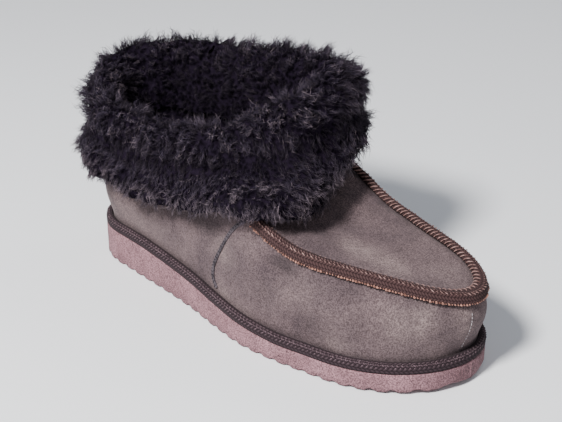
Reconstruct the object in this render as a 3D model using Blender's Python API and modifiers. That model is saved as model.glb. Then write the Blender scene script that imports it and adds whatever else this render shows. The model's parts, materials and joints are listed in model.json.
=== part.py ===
"""Sheepskin slipper for a right foot, with a ribbed foam sole and a turned-down wool cuff.

It stands empty on its sole. +X points to the toe, +Y to the inner side of the foot and +Z up. The origin
is on the floor, on the middle of a rib under the heel. Lengths are in metres. A table's rows hold shares
of the named sizes that stand above it. A turn is a place on a ring round the shoe: 0 at the back of the
heel, 0.25 on the outer side, 0.5 at the toe, 0.75 on the inner side.
"""
import math
import random

import bmesh
import bpy
import numpy as np

# Sole
SOLE_LENGTH = 0.283
BALL_WIDTH = 0.104
HEEL_SETBACK = 0.035
HEEL_THICKNESS = 0.0218
FOREPART_THICKNESS = 0.0115
TOE_SPRING = 0.0025
RIB_PITCH = 0.0100
RIB_LAND = 0.0046
RIB_DEPTH = 0.0015

# Welt binding, a tape round the sole's top edge
WELT_WIDTH = 0.0042
WELT_HEIGHT = 0.0058

# Insole
INSOLE_THICKNESS = 0.0040

# Upper
UPPER_WALL = 0.0025
WALL_BULGE = 0.0050
APRON_CROWN = 0.0020
CROWN_NARROW = 0.0200
CROWN_WIDE = 0.0600
INSTEP_HEIGHT = 0.0800
COLLAR_HEIGHT = 0.1220
WALL_BAND = 0.0055
APRON_BAND = 0.0050

# Apron binding, a folded tape that caps the seam between wall and apron
BINDING_DROP = 0.0043
BINDING_REACH = 0.0040
BINDING_THICKNESS = 0.0034

# Side seams, raised cords down the wall
SEAM_WIDTH = 0.0024
SEAM_HEIGHT = 0.0011

# Wool cuff
CUFF_OUT = 0.0155
CUFF_CREST = 0.0135
MOUTH_WOOL = 0.0080
MOUTH_DEPTH_SHARE = 0.80
HEM_THICKNESS = 0.0030
LOCK_LENGTH = 0.0090
LOCK_SHARE = 0.54
LOCK_SEED = 7

# Clearances
FIT_GAP = 0.0003
CUFF_GAP = 0.0006

# Mesh steps
HALF_STEPS = 240
UPPER_COLUMNS = 72
CUFF_COLUMNS = 64
INSOLE_STATIONS = 26
END_STEPS = (0.0002, 0.0008, 0.0018, 0.0032, 0.0050)

# Sole outline: place along it, its middle line and its half width before the ends are rounded
SOLE_ROWS = (
    # along, middle, half
    (0.000, 0.008, 0.338),
    (0.120, 0.012, 0.338),
    (0.212, 0.003, 0.351),
    (0.304, -0.015, 0.355),
    (0.396, -0.032, 0.370),
    (0.488, -0.039, 0.412),
    (0.580, -0.024, 0.463),
    (0.672, 0.013, 0.488),
    (0.767, 0.047, 0.483),
    (0.857, 0.072, 0.484),
    (0.941, 0.096, 0.486),
    (1.000, 0.115, 0.486),
)
HEEL_ROUND_SHARE = 0.127
TOE_ROUND_SHARE = 0.233

# Wedge of the sole: the heel's thickness runs down to the forepart's between these places
WEDGE_START_SHARE = 0.212
WEDGE_END_SHARE = 0.671
SPRING_START_SHARE = 0.700

# Apron seam, carried on as an unmarked line round the heel: place along the sole, middle, half width
# before the ends are rounded, and height as a share of INSTEP_HEIGHT
APRON_ROWS = (
    # along, middle, half, height
    (0.000, 0.014, 0.318, 0.750),
    (0.212, 0.008, 0.326, 0.752),
    (0.390, -0.008, 0.342, 0.810),
    (0.480, 0.002, 0.380, 0.925),
    (0.530, 0.012, 0.405, 1.040),
    (0.583, 0.016, 0.418, 1.020),
    (0.636, 0.018, 0.409, 0.925),
    (0.689, 0.026, 0.392, 0.850),
    (0.742, 0.040, 0.370, 0.812),
    (0.795, 0.056, 0.345, 0.786),
    (0.848, 0.074, 0.332, 0.765),
    (0.901, 0.094, 0.330, 0.738),
    (0.947, 0.114, 0.330, 0.702),
    (1.000, 0.137, 0.330, 0.655),
)
APRON_BACK_SHARE = 0.010
APRON_TIP_SHARE = 0.990
APRON_HEEL_ROUND_SHARE = 0.127
APRON_TOE_ROUND_SHARE = 0.286
APRON_START = 0.2915
APRON_BLEND_SHARE = 0.080

# How far the wall swells outward half-way up, as a share of WALL_BULGE
BULGE_ROWS = (
    # turn, bulge
    (0.00, 0.60),
    (0.12, 0.50),
    (0.25, 0.25),
    (0.36, 0.75),
    (0.45, 0.95),
    (0.50, 1.00),
    (0.58, 0.90),
    (0.70, 0.45),
    (0.85, 0.45),
)

# Throat, where the apron turns up into the shaft, and fold, the shaft's top edge:
# along the sole, across the ball's width and up to the collar's height
THROAT_ROWS = (
    # turn, along, across, up
    (0.000, 0.014, 0.015, 0.672),
    (0.088, 0.070, -0.260, 0.648),
    (0.225, 0.255, -0.337, 0.640),
    (0.390, 0.480, -0.318, 0.672),
    (0.500, 0.576, 0.048, 0.656),
    (0.589, 0.520, 0.345, 0.689),
    (0.742, 0.300, 0.352, 0.689),
    (0.903, 0.082, 0.293, 0.672),
)
FOLD_ROWS = (
    # turn, along, across, up
    (0.000, 0.010, 0.020, 0.885),
    (0.088, 0.074, -0.240, 0.832),
    (0.225, 0.247, -0.298, 0.796),
    (0.390, 0.459, -0.240, 0.886),
    (0.500, 0.555, 0.048, 1.000),
    (0.589, 0.525, 0.360, 1.057),
    (0.742, 0.306, 0.380, 1.016),
    (0.903, 0.088, 0.298, 0.945),
)
SHAFT_TURN_SHARE = 0.110
# The instep's share of the collar's height, where the shaft's front stands
INSTEP_SHARE = 0.656

# Hem of the cuff, the lower edge of its inner face, clear of the wall and of the bindings
HEM_ROWS = (
    # turn, along, across, up
    (0.000, -0.006, 0.015, 0.492),
    (0.088, 0.050, -0.298, 0.541),
    (0.225, 0.247, -0.398, 0.516),
    (0.330, 0.399, -0.433, 0.570),
    (0.385, 0.505, -0.462, 0.635),
    (0.412, 0.569, -0.457, 0.690),
    (0.440, 0.622, -0.385, 0.686),
    (0.470, 0.647, -0.212, 0.672),
    (0.510, 0.618, 0.029, 0.705),
    (0.560, 0.560, 0.317, 0.755),
    (0.610, 0.508, 0.485, 0.745),
    (0.670, 0.431, 0.474, 0.615),
    (0.742, 0.300, 0.440, 0.525),
    (0.903, 0.062, 0.330, 0.500),
)

# Wool cuff by turn: reach outward and rise of the crest, as shares of CUFF_OUT and CUFF_CREST
CUFF_ROWS = (
    # turn, out, crest
    (0.000, 1.05, 1.60),
    (0.088, 1.05, 1.20),
    (0.225, 1.00, 1.00),
    (0.340, 1.00, 1.00),
    (0.420, 1.20, 1.05),
    (0.500, 1.20, 1.15),
    (0.589, 1.65, 1.20),
    (0.680, 1.40, 1.25),
    (0.800, 1.10, 1.35),
    (0.903, 0.95, 1.50),
)

# Side seams from the welt up to the cuff: height share of the wall, turn on the outer side.
# The inner side's seam mirrors it.
SIDE_SEAM_ROWS = (
    # up, turn
    (0.150, 0.2350),
    (0.230, 0.2308),
    (0.360, 0.2320),
    (0.520, 0.2400),
    (0.680, 0.2535),
    (0.790, 0.2665),
    (0.920, 0.2825),
)


def read_rows(rows, at):
    """Every column of a table at the places `at`, on a smooth curve through its rows."""
    rows = np.asarray(rows, float)
    place = rows[:, 0]
    value = rows[:, 1:]
    slope = np.gradient(value, place, axis=0)
    at = np.clip(np.atleast_1d(at), place[0], place[-1])
    row = np.clip(np.searchsorted(place, at, side="right") - 1, 0, len(place) - 2)
    step = (place[row + 1] - place[row])[:, None]
    u = (at - place[row])[:, None] / step
    start = (1 + 2 * u) * (1 - u) ** 2 * value[row] + u * (1 - u) ** 2 * step * slope[row]
    end = u ** 2 * (3 - 2 * u) * value[row + 1] - u ** 2 * (1 - u) * step * slope[row + 1]
    return start + end


def read_ring(rows, turns):
    """Every column of a table that closes on itself, at these turns."""
    rows = np.asarray(rows, float)
    before = rows[-3:].copy()
    before[:, 0] -= 1.0
    after = rows[:3].copy()
    after[:, 0] += 1.0
    return read_rows(np.vstack((before, rows, after)), np.mod(turns, 1.0))


def plan_side(rows, back, front, heel_round, toe_round, side):
    """One side of a plan curve as points from heel to toe: side is -1 outer, 1 inner."""
    swing = np.linspace(0.0, math.pi, HALF_STEPS)
    along = back + (front - back) * (1.0 - np.cos(swing)) / 2.0
    middle, half = read_rows(rows, along)[:, :2].T
    heel = np.clip((back + heel_round - along) / heel_round, 0.0, 1.0)
    toe = np.clip((along - front + toe_round) / toe_round, 0.0, 1.0)
    half = half * np.sqrt(1.0 - heel ** 2) * np.sqrt(1.0 - toe ** 2)
    x = along * SOLE_LENGTH - HEEL_SETBACK
    y = (middle + side * half) * BALL_WIDTH
    return np.column_stack((x, y))


def plan_ring(rows, back, front, heel_round, toe_round, turns):
    """Points of a closed plan curve at these turns, evenly spaced along each side."""
    points = np.zeros((len(turns), 2))
    for side, share in ((-1, turns * 2.0), (1, (1.0 - turns) * 2.0)):
        edge = plan_side(rows, back, front, heel_round, toe_round, side)
        run = np.concatenate(([0.0], np.cumsum(np.linalg.norm(np.diff(edge, axis=0), axis=1))))
        chosen = (turns <= 0.5) if side < 0 else (turns > 0.5)
        at = share[chosen] * run[-1]
        points[chosen, 0] = np.interp(at, run, edge[:, 0])
        points[chosen, 1] = np.interp(at, run, edge[:, 1])
    return points


def outward(ring):
    """Unit normals that point out of a closed ring, in plan."""
    along = np.roll(ring, -1, axis=0) - np.roll(ring, 1, axis=0)
    normal = np.column_stack((along[:, 1], -along[:, 0]))
    return normal / np.linalg.norm(normal, axis=1)[:, None]


def sole_ring(inset, turns):
    """The sole's outline, moved inward by the inset."""
    fine = np.arange(0.0, 1.0, 1.0 / (4 * HALF_STEPS))
    ring = plan_ring(SOLE_ROWS, 0.0, 1.0, HEEL_ROUND_SHARE, TOE_ROUND_SHARE, fine)
    ring = ring - outward(ring) * inset
    wrapped = np.vstack((ring, ring[:1]))
    at = np.append(fine, 1.0)
    return np.column_stack([np.interp(turns, at, wrapped[:, axis]) for axis in (0, 1)])


def sole_span(inset, x):
    """The outer and inner edge of the sole's outline at the places x, moved inward by the inset."""
    turns = np.linspace(0.0, 0.5, 2 * HALF_STEPS)
    outer = sole_ring(inset, turns)
    inner = sole_ring(inset, np.mod(1.0 - turns, 1.0))
    return np.interp(x, outer[:, 0], outer[:, 1]), np.interp(x, inner[:, 0], inner[:, 1])


def along_sole(x):
    return (x + HEEL_SETBACK) / SOLE_LENGTH


def toe_lift(x):
    """How far the sole's underside has left the floor at x."""
    share = np.clip((along_sole(x) - SPRING_START_SHARE) / (1.0 - SPRING_START_SHARE), 0.0, None)
    return TOE_SPRING * share ** 2


def sole_top(x):
    """Height of the sole's top face at x."""
    share = np.clip((along_sole(x) - WEDGE_START_SHARE) / (WEDGE_END_SHARE - WEDGE_START_SHARE), 0.0, 1.0)
    return HEEL_THICKNESS + (FOREPART_THICKNESS - HEEL_THICKNESS) * share + toe_lift(x)


def seam_height(x):
    """Height of the apron's seam line at x."""
    return read_rows(APRON_ROWS, along_sole(x))[:, 2] * INSTEP_HEIGHT


def apron_line(x):
    """Height of the apron's long profile at x, level behind its highest place."""
    highest = max(APRON_ROWS, key=lambda row: row[3])[0]
    return seam_height(np.maximum(x, highest * SOLE_LENGTH - HEEL_SETBACK))


def ring_in_space(rows, turns):
    """A ring table's points in space. The front of the shaft stands on the instep and moves with it."""
    along, across, up = read_ring(rows, turns).T
    front = ((1.0 - np.cos(2.0 * math.pi * turns)) / 2.0) ** 2
    height = up * COLLAR_HEIGHT + front * (INSTEP_HEIGHT - INSTEP_SHARE * COLLAR_HEIGHT)
    return np.column_stack((along * SOLE_LENGTH - HEEL_SETBACK, across * BALL_WIDTH, height))


def shaft_turns(turns):
    """Where the upper's columns meet the shaft: they gather towards the instep."""
    return turns + SHAFT_TURN_SHARE * np.sin(2.0 * math.pi * turns)


def mix(a, b, share):
    return a + (b - a) * np.asarray(share)[..., None]


def upper_rings(turns):
    """Outer surface of the upper as rings from the sole to the fold, and the number of the seam's ring."""
    base = sole_ring(WELT_WIDTH + FIT_GAP, turns)
    base_z = sole_top(base[:, 0]) + FIT_GAP
    ends = (APRON_BACK_SHARE, APRON_TIP_SHARE, APRON_HEEL_ROUND_SHARE, APRON_TOE_ROUND_SHARE)
    seam = plan_ring(APRON_ROWS, *ends, turns)
    seam_z = seam_height(seam[:, 0])
    swell = read_ring(BULGE_ROWS, turns)[:, 0] * WALL_BULGE
    facing = outward(base)
    height = seam_z - base_z

    rings = []
    welt_top = WELT_HEIGHT / height
    for up in (0.0, welt_top, 0.34, 0.60, 1.0 - WALL_BAND / height, 1.0):
        up = np.broadcast_to(up, turns.shape)
        above = np.clip((up - welt_top) / (1.0 - welt_top), 0.0, 1.0)
        plan = mix(base, seam, above ** 1.2) + facing * (swell * np.sin(math.pi * above ** 1.3))[:, None]
        rings.append(np.column_stack((plan, base_z + height * up)))
    seam_ring = len(rings) - 1

    throat = ring_in_space(THROAT_ROWS, shaft_turns(turns))
    fold = ring_in_space(FOLD_ROWS, shaft_turns(turns))
    reach = np.linalg.norm(throat[:, :2] - seam, axis=1)
    on_apron = 1.0 + (0.5 - np.abs(turns - 0.5) - APRON_START) / APRON_BLEND_SHARE
    on_apron = np.clip(on_apron, 0.0, 1.0)
    open_share = np.clip((reach - CROWN_NARROW) / (CROWN_WIDE - CROWN_NARROW), 0.0, 1.0)
    seam_line = apron_line(seam[:, 0])
    throat_line = apron_line(throat[:, 0])
    for share in (np.minimum(APRON_BAND / reach, 0.30), 0.38, 0.60, 0.80, 0.93):
        share = np.broadcast_to(share, turns.shape)
        plan = mix(seam, throat[:, :2], share)
        sag = apron_line(plan[:, 0]) - seam_line - (throat_line - seam_line) * share
        crown = APRON_CROWN * on_apron * open_share * 4.0 * share * (1.0 - share)
        rise = (throat[:, 2] - seam_z) * share
        rings.append(np.column_stack((plan, seam_z + rise + sag + crown)))
    before = rings[-1]
    after = mix(throat, fold, 0.16)
    rings.append(before * 0.25 + throat * 0.5 + after * 0.25)
    for share in (0.36, 0.68, 1.0):
        rings.append(mix(throat, fold, share))
    return np.array(rings), seam_ring


def make_object(name, mesh, collection, colour, roughness):
    """An object of this mesh in the collection, with a plain material of its own."""
    mesh.name = name
    part = bpy.data.objects.new(name, mesh)
    collection.objects.link(part)
    material = bpy.data.materials.new(name)
    material.use_nodes = True
    shader = material.node_tree.nodes["Principled BSDF"]
    shader.inputs["Base Color"].default_value = (*colour, 1.0)
    shader.inputs["Roughness"].default_value = roughness
    shader.inputs["Metallic"].default_value = 0.0
    mesh.materials.append(material)
    return part


def loft(sections, closed):
    """A solid through sections with the same number of points: a closed ring, or a run with flat caps."""
    count, size = sections.shape[:2]
    build = bmesh.new()
    rows = [[build.verts.new(point) for point in section] for section in sections]
    for row in range(count if closed else count - 1):
        here = rows[row]
        there = rows[(row + 1) % count]
        for k in range(size):
            build.faces.new((here[k], here[(k + 1) % size], there[(k + 1) % size], there[k]))
    if not closed:
        build.faces.new(rows[0])
        build.faces.new(rows[-1])
    bmesh.ops.recalc_face_normals(build, faces=build.faces)
    return build


def finish_mesh(build):
    mesh = bpy.data.meshes.new("form")
    build.to_mesh(mesh)
    build.free()
    return mesh


def sole_stations():
    """Places along the sole: both sides of each rib's land, its groove, and close steps at the ends."""
    back = -HEEL_SETBACK
    front = SOLE_LENGTH - HEEL_SETBACK
    groove = RIB_PITCH - RIB_LAND
    places = []
    first = math.floor(back / RIB_PITCH) - 1
    last = math.ceil(front / RIB_PITCH) + 1
    for rib in range(first, last + 1):
        start = rib * RIB_PITCH - RIB_LAND / 2.0
        places += [start, start + RIB_LAND]
        places += [start + RIB_LAND + groove * share for share in (0.2, 0.5, 0.8)]
    clear = END_STEPS[-1]
    places = [x for x in places if back + clear < x < front - clear]
    places += [back + step for step in END_STEPS]
    places += [front - step for step in END_STEPS]
    return np.array(sorted(places))


def rib_groove(x):
    """Depth of the groove between two ribs at x, which is zero on a rib's land."""
    groove = RIB_PITCH - RIB_LAND
    past = np.mod(x - RIB_LAND / 2.0, RIB_PITCH) / groove
    return RIB_DEPTH * np.sin(math.pi * np.clip(past, 0.0, 1.0)) ** 0.7


def plate(stations, inset, bottom, top):
    """A plate inside the sole's outline, by stations across the foot."""
    outer, inner = sole_span(inset, stations)
    corners = ((outer, bottom), (inner, bottom), (inner, top), (outer, top))
    sections = [np.column_stack((stations, y, z)) for y, z in corners]
    return loft(np.stack(sections, axis=1), closed=False)


def make_outsole(collection):
    stations = sole_stations()
    bottom = toe_lift(stations) + rib_groove(stations)
    mesh = finish_mesh(plate(stations, 0.0, bottom, sole_top(stations)))
    make_object("outsole", mesh, collection, (0.43, 0.30, 0.31), 0.85)


def make_insole(collection):
    inset = WELT_WIDTH + UPPER_WALL + 3.0 * FIT_GAP
    clear = END_STEPS[0]
    back = inset - HEEL_SETBACK + clear
    front = SOLE_LENGTH - HEEL_SETBACK - inset - clear
    swing = np.linspace(0.0, math.pi, INSOLE_STATIONS)
    stations = back + (front - back) * (1.0 - np.cos(swing)) / 2.0
    kinks = np.array((WEDGE_START_SHARE, WEDGE_END_SHARE)) * SOLE_LENGTH - HEEL_SETBACK
    stations = np.sort(np.concatenate((stations, kinks)))
    bottom = sole_top(stations) + FIT_GAP
    mesh = finish_mesh(plate(stations, inset, bottom, bottom + INSOLE_THICKNESS))
    make_object("insole", mesh, collection, (0.05, 0.035, 0.035), 0.95)


def make_welt(collection):
    """A ring with a rounded top edge, which sits on the sole and hugs the upper's foot."""
    turns = np.arange(UPPER_COLUMNS) / UPPER_COLUMNS
    # inset from the sole's edge as a share of WELT_WIDTH, height as a share of WELT_HEIGHT
    profile = ((0.0, 0.0), (0.0, 0.62), (0.28, 0.93), (0.66, 1.0), (1.0, 0.90), (1.0, 0.0))
    sections = []
    for inset, up in profile:
        ring = sole_ring(inset * WELT_WIDTH, turns)
        sections.append(np.column_stack((ring, sole_top(ring[:, 0]) + FIT_GAP + up * WELT_HEIGHT)))
    mesh = finish_mesh(loft(np.stack(sections, axis=1), closed=True))
    make_object("welt_binding", mesh, collection, (0.075, 0.048, 0.054), 0.8)


def make_upper(collection):
    """The hollow upper: its outer surface by rings, with the wall's thickness put inside it."""
    rings, _ = upper_rings(np.arange(UPPER_COLUMNS) / UPPER_COLUMNS)
    build = bmesh.new()
    rows = [[build.verts.new(point) for point in ring] for ring in rings]
    for lower, higher in zip(rows, rows[1:]):
        for k in range(UPPER_COLUMNS):
            following = (k + 1) % UPPER_COLUMNS
            build.faces.new((lower[k], lower[following], higher[following], higher[k]))
    upper = make_object("upper", finish_mesh(build), collection, (0.18, 0.14, 0.128), 0.9)
    wall = upper.modifiers.new("wall", "SOLIDIFY")
    wall.thickness = UPPER_WALL
    wall.offset = -1.0
    wall.use_even_offset = True
    wall.use_rim = True


def unit(vectors):
    return vectors / np.linalg.norm(vectors, axis=1)[:, None]


def make_apron_binding(collection):
    """A cap over the apron's seam, from under the cuff on one side round the toe to the other."""
    turns = np.arange(UPPER_COLUMNS) / UPPER_COLUMNS
    rings, seam_ring = upper_rings(turns)
    seam = rings[seam_ring]
    down = unit(rings[seam_ring - 1] - seam)
    inward = unit(rings[seam_ring + 1] - seam)
    along = unit(np.roll(seam, -1, axis=0) - np.roll(seam, 1, axis=0))
    wall_out = unit(np.cross(down, along))
    apron_up = unit(np.cross(along, inward))
    corner = (wall_out + apron_up) / (1.0 + np.sum(wall_out * apron_up, axis=1))[:, None]
    # steps down the wall or in over the apron, then out of the wall and up from the apron, as shares of
    # BINDING_DROP, BINDING_REACH and BINDING_THICKNESS
    outer = (
        # down, inward, wall_out, apron_up
        (0.00, 1.00, 0.00, 0.55),
        (0.00, 0.62, 0.00, 0.95),
        (0.00, 0.00, 0.25, 1.05),
        (0.00, 0.00, 0.80, 0.80),
        (0.25, 0.00, 1.10, 0.00),
        (0.80, 0.00, 1.05, 0.00),
        (1.00, 0.00, 0.80, 0.00),
    )
    gap = FIT_GAP
    first_band = np.linalg.norm(rings[seam_ring + 1] - seam, axis=1)
    lap = np.minimum(BINDING_REACH, 0.85 * first_band)[:, None]
    points = [
        seam + down * BINDING_DROP + wall_out * gap,
        seam + corner * gap,
        seam + inward * lap + apron_up * 2.0 * gap,
    ]
    for lower, reach, out, up in outer:
        place = seam + down * BINDING_DROP * lower + inward * lap * reach
        points.append(place + (wall_out * out + apron_up * up) * BINDING_THICKNESS)
    chosen = (turns > APRON_START - 1e-6) & (turns < 1.0 - APRON_START + 1e-6)
    mesh = finish_mesh(loft(np.stack(points, axis=1)[chosen], closed=False))
    make_object("apron_binding", mesh, collection, (0.107, 0.048, 0.042), 0.75)


def wall_point(rings, seam_ring, up, turn):
    """Point and outward normal on the upper's wall, read from the same flat faces as the upper has."""
    column = turn * UPPER_COLUMNS
    first = int(math.floor(column))
    beside = column - first
    first %= UPPER_COLUMNS
    following = (first + 1) % UPPER_COLUMNS
    edge = rings[:seam_ring + 1, first] * (1.0 - beside) + rings[:seam_ring + 1, following] * beside
    height = edge[0, 2] + (edge[-1, 2] - edge[0, 2]) * up
    point = np.array([np.interp(height, edge[:, 2], edge[:, axis]) for axis in range(3)])
    row = int(np.clip(np.searchsorted(edge[:, 2], height) - 1, 0, seam_ring - 1))
    across = rings[row, following] - rings[row, first]
    upward = rings[row + 1, first] - rings[row, first]
    normal = np.cross(across, upward)
    return point, normal / np.linalg.norm(normal)


def make_side_seam(collection, name, side):
    """A raised cord that runs up the wall from the welt to the cuff."""
    rings, seam_ring = upper_rings(np.arange(UPPER_COLUMNS) / UPPER_COLUMNS)
    lowest = SIDE_SEAM_ROWS[0][0]
    highest = SIDE_SEAM_ROWS[-1][0]
    ups = np.linspace(lowest, highest, 14)
    turns = read_rows(SIDE_SEAM_ROWS, ups)[:, 0]
    if side > 0:
        turns = 1.0 - turns
    spots = [wall_point(rings, seam_ring, up, turn) for up, turn in zip(ups, turns)]
    middle = np.array([spot[0] for spot in spots])
    facing = unit(np.array([spot[1] for spot in spots]))
    across = unit(np.cross(np.gradient(middle, axis=0), facing))
    half = SEAM_WIDTH / 2.0
    # across as a share of half the width, out as a share of the height
    profile = ((-1.0, 0.0), (-0.75, 0.75), (0.0, 1.0), (0.75, 0.75), (1.0, 0.0))
    points = []
    for aside, out in profile:
        points.append(middle + across * half * aside + facing * (1.5 * FIT_GAP + SEAM_HEIGHT * out))
    mesh = finish_mesh(loft(np.stack(points, axis=1), closed=False))
    make_object(name, mesh, collection, (0.16, 0.14, 0.15), 0.8)


def cuff_sections(turns):
    """Sections of the wool cuff, which hangs over the shaft's top edge like a saddle."""
    fold = ring_in_space(FOLD_ROWS, turns)
    throat = ring_in_space(THROAT_ROWS, turns)
    hem = ring_in_space(HEM_ROWS, turns)
    out, crest = read_ring(CUFF_ROWS, turns).T
    out = out * CUFF_OUT
    crest = crest * CUFF_CREST
    fold_out = outward(fold[:, :2])
    hem_out = outward(hem[:, :2])

    def over(aside, rise):
        """A point over the fold."""
        return np.column_stack((fold[:, :2] + fold_out * aside[:, None], fold[:, 2] + rise))

    def inside(aside, depth):
        """A point in the mouth, beside the shaft's inner face."""
        shaft = mix(fold, throat, depth / (fold[:, 2] - throat[:, 2]))
        aside = aside + UPPER_WALL + CUFF_GAP
        return shaft - np.column_stack((fold_out * aside, none))

    def outside(aside, share):
        """A point of the flap, this share of the way from the fold down to the hem."""
        facing = fold_out * (1.0 - share) + hem_out * share
        return mix(fold, hem, share + none) + np.column_stack((facing * aside[:, None], none))

    none = np.zeros_like(out)
    depth = (fold[:, 2] - throat[:, 2]) * MOUTH_DEPTH_SHARE
    points = (
        inside(0.0, depth),
        inside(MOUTH_WOOL * 0.75, depth),
        inside(MOUTH_WOOL, depth * 0.45),
        over(none - UPPER_WALL - MOUTH_WOOL * 0.5, crest * 0.60),
        over(none, crest),
        over(out * 0.52, crest * 0.88),
        over(out * 0.88, crest * 0.36),
        outside(out, 0.14),
        outside(out * 0.86, 0.42),
        outside(out * 0.88, 0.64),
        outside(out * 0.62, 0.90),
        outside(out * 0.36, 1.0) - (0.0, 0.0, HEM_THICKNESS),
        outside(none, 1.0),
        outside(none + CUFF_GAP, 0.45),
        over(none + CUFF_GAP, none + CUFF_GAP),
        over(none - UPPER_WALL - CUFF_GAP, none + CUFF_GAP),
    )
    return np.stack(points, axis=1)


def add_locks(build, size):
    """Fuses drooping locks of wool onto the outer faces of the cuff, whose sections have `size` points."""
    dice = random.Random(LOCK_SEED)
    build.faces.ensure_lookup_table()
    first_band = 3
    last_band = 10
    chosen = []
    for face in build.faces:
        band = face.index % size
        if first_band <= band <= last_band and dice.random() < LOCK_SHARE:
            chosen.append((face, band))
    for face, band in chosen:
        middle = face.calc_center_median()
        lift = face.normal.copy()
        lift.x += dice.uniform(-0.25, 0.25)
        lift.y += dice.uniform(-0.25, 0.25)
        lift.z -= 0.10 * (band - first_band)
        lift.normalize()
        length = LOCK_LENGTH * dice.uniform(0.45, 1.0)
        tip = bmesh.ops.extrude_discrete_faces(build, faces=[face])["faces"][0]
        for corner in tip.verts:
            corner.co = middle + (corner.co - middle) * 0.38 + lift * length


def make_cuff(collection):
    sections = cuff_sections(np.arange(CUFF_COLUMNS) / CUFF_COLUMNS)
    build = loft(sections, closed=True)
    add_locks(build, sections.shape[1])
    make_object("wool_cuff", finish_mesh(build), collection, (0.026, 0.019, 0.022), 0.95)


def make_slipper():
    for old in list(bpy.data.objects):
        bpy.data.objects.remove(old, do_unlink=True)
    collection = bpy.data.collections.new("sheepskin_slipper")
    bpy.context.scene.collection.children.link(collection)
    make_outsole(collection)
    make_insole(collection)
    make_upper(collection)
    make_welt(collection)
    make_apron_binding(collection)
    make_side_seam(collection, "side_seam_outer", -1)
    make_side_seam(collection, "side_seam_inner", 1)
    make_cuff(collection)


make_slipper()
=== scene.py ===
"""Looks of a right-foot sheepskin slipper: napped suede, braided tapes, foam sole and turned-down wool.

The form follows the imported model's own sizes. +X points to the toe, +Y to the inner side of the foot and
+Z up, in metres. A turn is a place on a ring round the shoe: 0 at the heel, 0.25 outer side, 0.5 toe.
"""
import json
import math
import random

import bpy
import numpy as np
from mathutils import Matrix, Vector, noise

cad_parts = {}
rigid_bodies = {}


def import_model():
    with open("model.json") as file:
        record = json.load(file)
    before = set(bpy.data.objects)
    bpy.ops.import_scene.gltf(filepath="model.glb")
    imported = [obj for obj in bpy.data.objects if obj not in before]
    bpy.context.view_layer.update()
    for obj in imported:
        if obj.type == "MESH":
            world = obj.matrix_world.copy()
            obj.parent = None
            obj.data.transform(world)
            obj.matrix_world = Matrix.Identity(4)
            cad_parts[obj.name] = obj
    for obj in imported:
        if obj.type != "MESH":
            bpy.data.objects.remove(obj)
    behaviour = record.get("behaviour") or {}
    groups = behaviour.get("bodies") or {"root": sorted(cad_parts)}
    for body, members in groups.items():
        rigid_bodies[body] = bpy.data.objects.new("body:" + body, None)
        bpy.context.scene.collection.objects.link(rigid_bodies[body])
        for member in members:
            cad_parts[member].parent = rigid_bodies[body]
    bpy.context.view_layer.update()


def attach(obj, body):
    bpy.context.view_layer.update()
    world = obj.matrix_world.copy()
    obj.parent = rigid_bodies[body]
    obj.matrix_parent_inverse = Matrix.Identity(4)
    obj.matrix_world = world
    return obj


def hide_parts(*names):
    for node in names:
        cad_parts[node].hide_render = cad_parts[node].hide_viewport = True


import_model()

# Sizes of the form
SOLE_LENGTH = 0.283
BALL_WIDTH = 0.104
HEEL_SETBACK = 0.035
HEEL_THICKNESS = 0.0218
FOREPART_THICKNESS = 0.0115
TOE_SPRING = 0.0025
RIB_PITCH = 0.0100
RIB_LAND = 0.0046
RIB_DEPTH = 0.0015
WELT_WIDTH = 0.0042
WELT_HEIGHT = 0.0058
INSOLE_THICKNESS = 0.0040
UPPER_WALL = 0.0025
WALL_BULGE = 0.0050
APRON_CROWN = 0.0020
CROWN_NARROW = 0.0200
CROWN_WIDE = 0.0600
INSTEP_HEIGHT = 0.0800
COLLAR_HEIGHT = 0.1220
WALL_BAND = 0.0055
APRON_BAND = 0.0050
BINDING_DROP = 0.0043
BINDING_REACH = 0.0040
BINDING_THICKNESS = 0.0034
CUFF_OUT = 0.0155
CUFF_CREST = 0.0135
MOUTH_WOOL = 0.0080
MOUTH_DEPTH_SHARE = 0.80
HEM_THICKNESS = 0.0030
FIT_GAP = 0.0003
CUFF_GAP = 0.0006
HALF_STEPS = 240

SOLE_ROWS = (
    # along, middle, half
    (0.000, 0.008, 0.338),
    (0.120, 0.012, 0.338),
    (0.212, 0.003, 0.351),
    (0.304, -0.015, 0.355),
    (0.396, -0.032, 0.370),
    (0.488, -0.039, 0.412),
    (0.580, -0.024, 0.463),
    (0.672, 0.013, 0.488),
    (0.767, 0.047, 0.483),
    (0.857, 0.072, 0.484),
    (0.941, 0.096, 0.486),
    (1.000, 0.115, 0.486),
)
HEEL_ROUND_SHARE = 0.127
TOE_ROUND_SHARE = 0.233
WEDGE_START_SHARE = 0.212
WEDGE_END_SHARE = 0.671
SPRING_START_SHARE = 0.700

APRON_ROWS = (
    # along, middle, half, height
    (0.000, 0.014, 0.318, 0.750),
    (0.212, 0.008, 0.326, 0.752),
    (0.390, -0.008, 0.342, 0.810),
    (0.480, 0.002, 0.380, 0.925),
    (0.530, 0.012, 0.405, 1.040),
    (0.583, 0.016, 0.418, 1.020),
    (0.636, 0.018, 0.409, 0.925),
    (0.689, 0.026, 0.392, 0.850),
    (0.742, 0.040, 0.370, 0.812),
    (0.795, 0.056, 0.345, 0.786),
    (0.848, 0.074, 0.332, 0.765),
    (0.901, 0.094, 0.330, 0.738),
    (0.947, 0.114, 0.330, 0.702),
    (1.000, 0.137, 0.330, 0.655),
)
APRON_BACK_SHARE = 0.010
APRON_TIP_SHARE = 0.990
APRON_HEEL_ROUND_SHARE = 0.127
APRON_TOE_ROUND_SHARE = 0.286
APRON_START = 0.2915
APRON_BLEND_SHARE = 0.080

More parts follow.
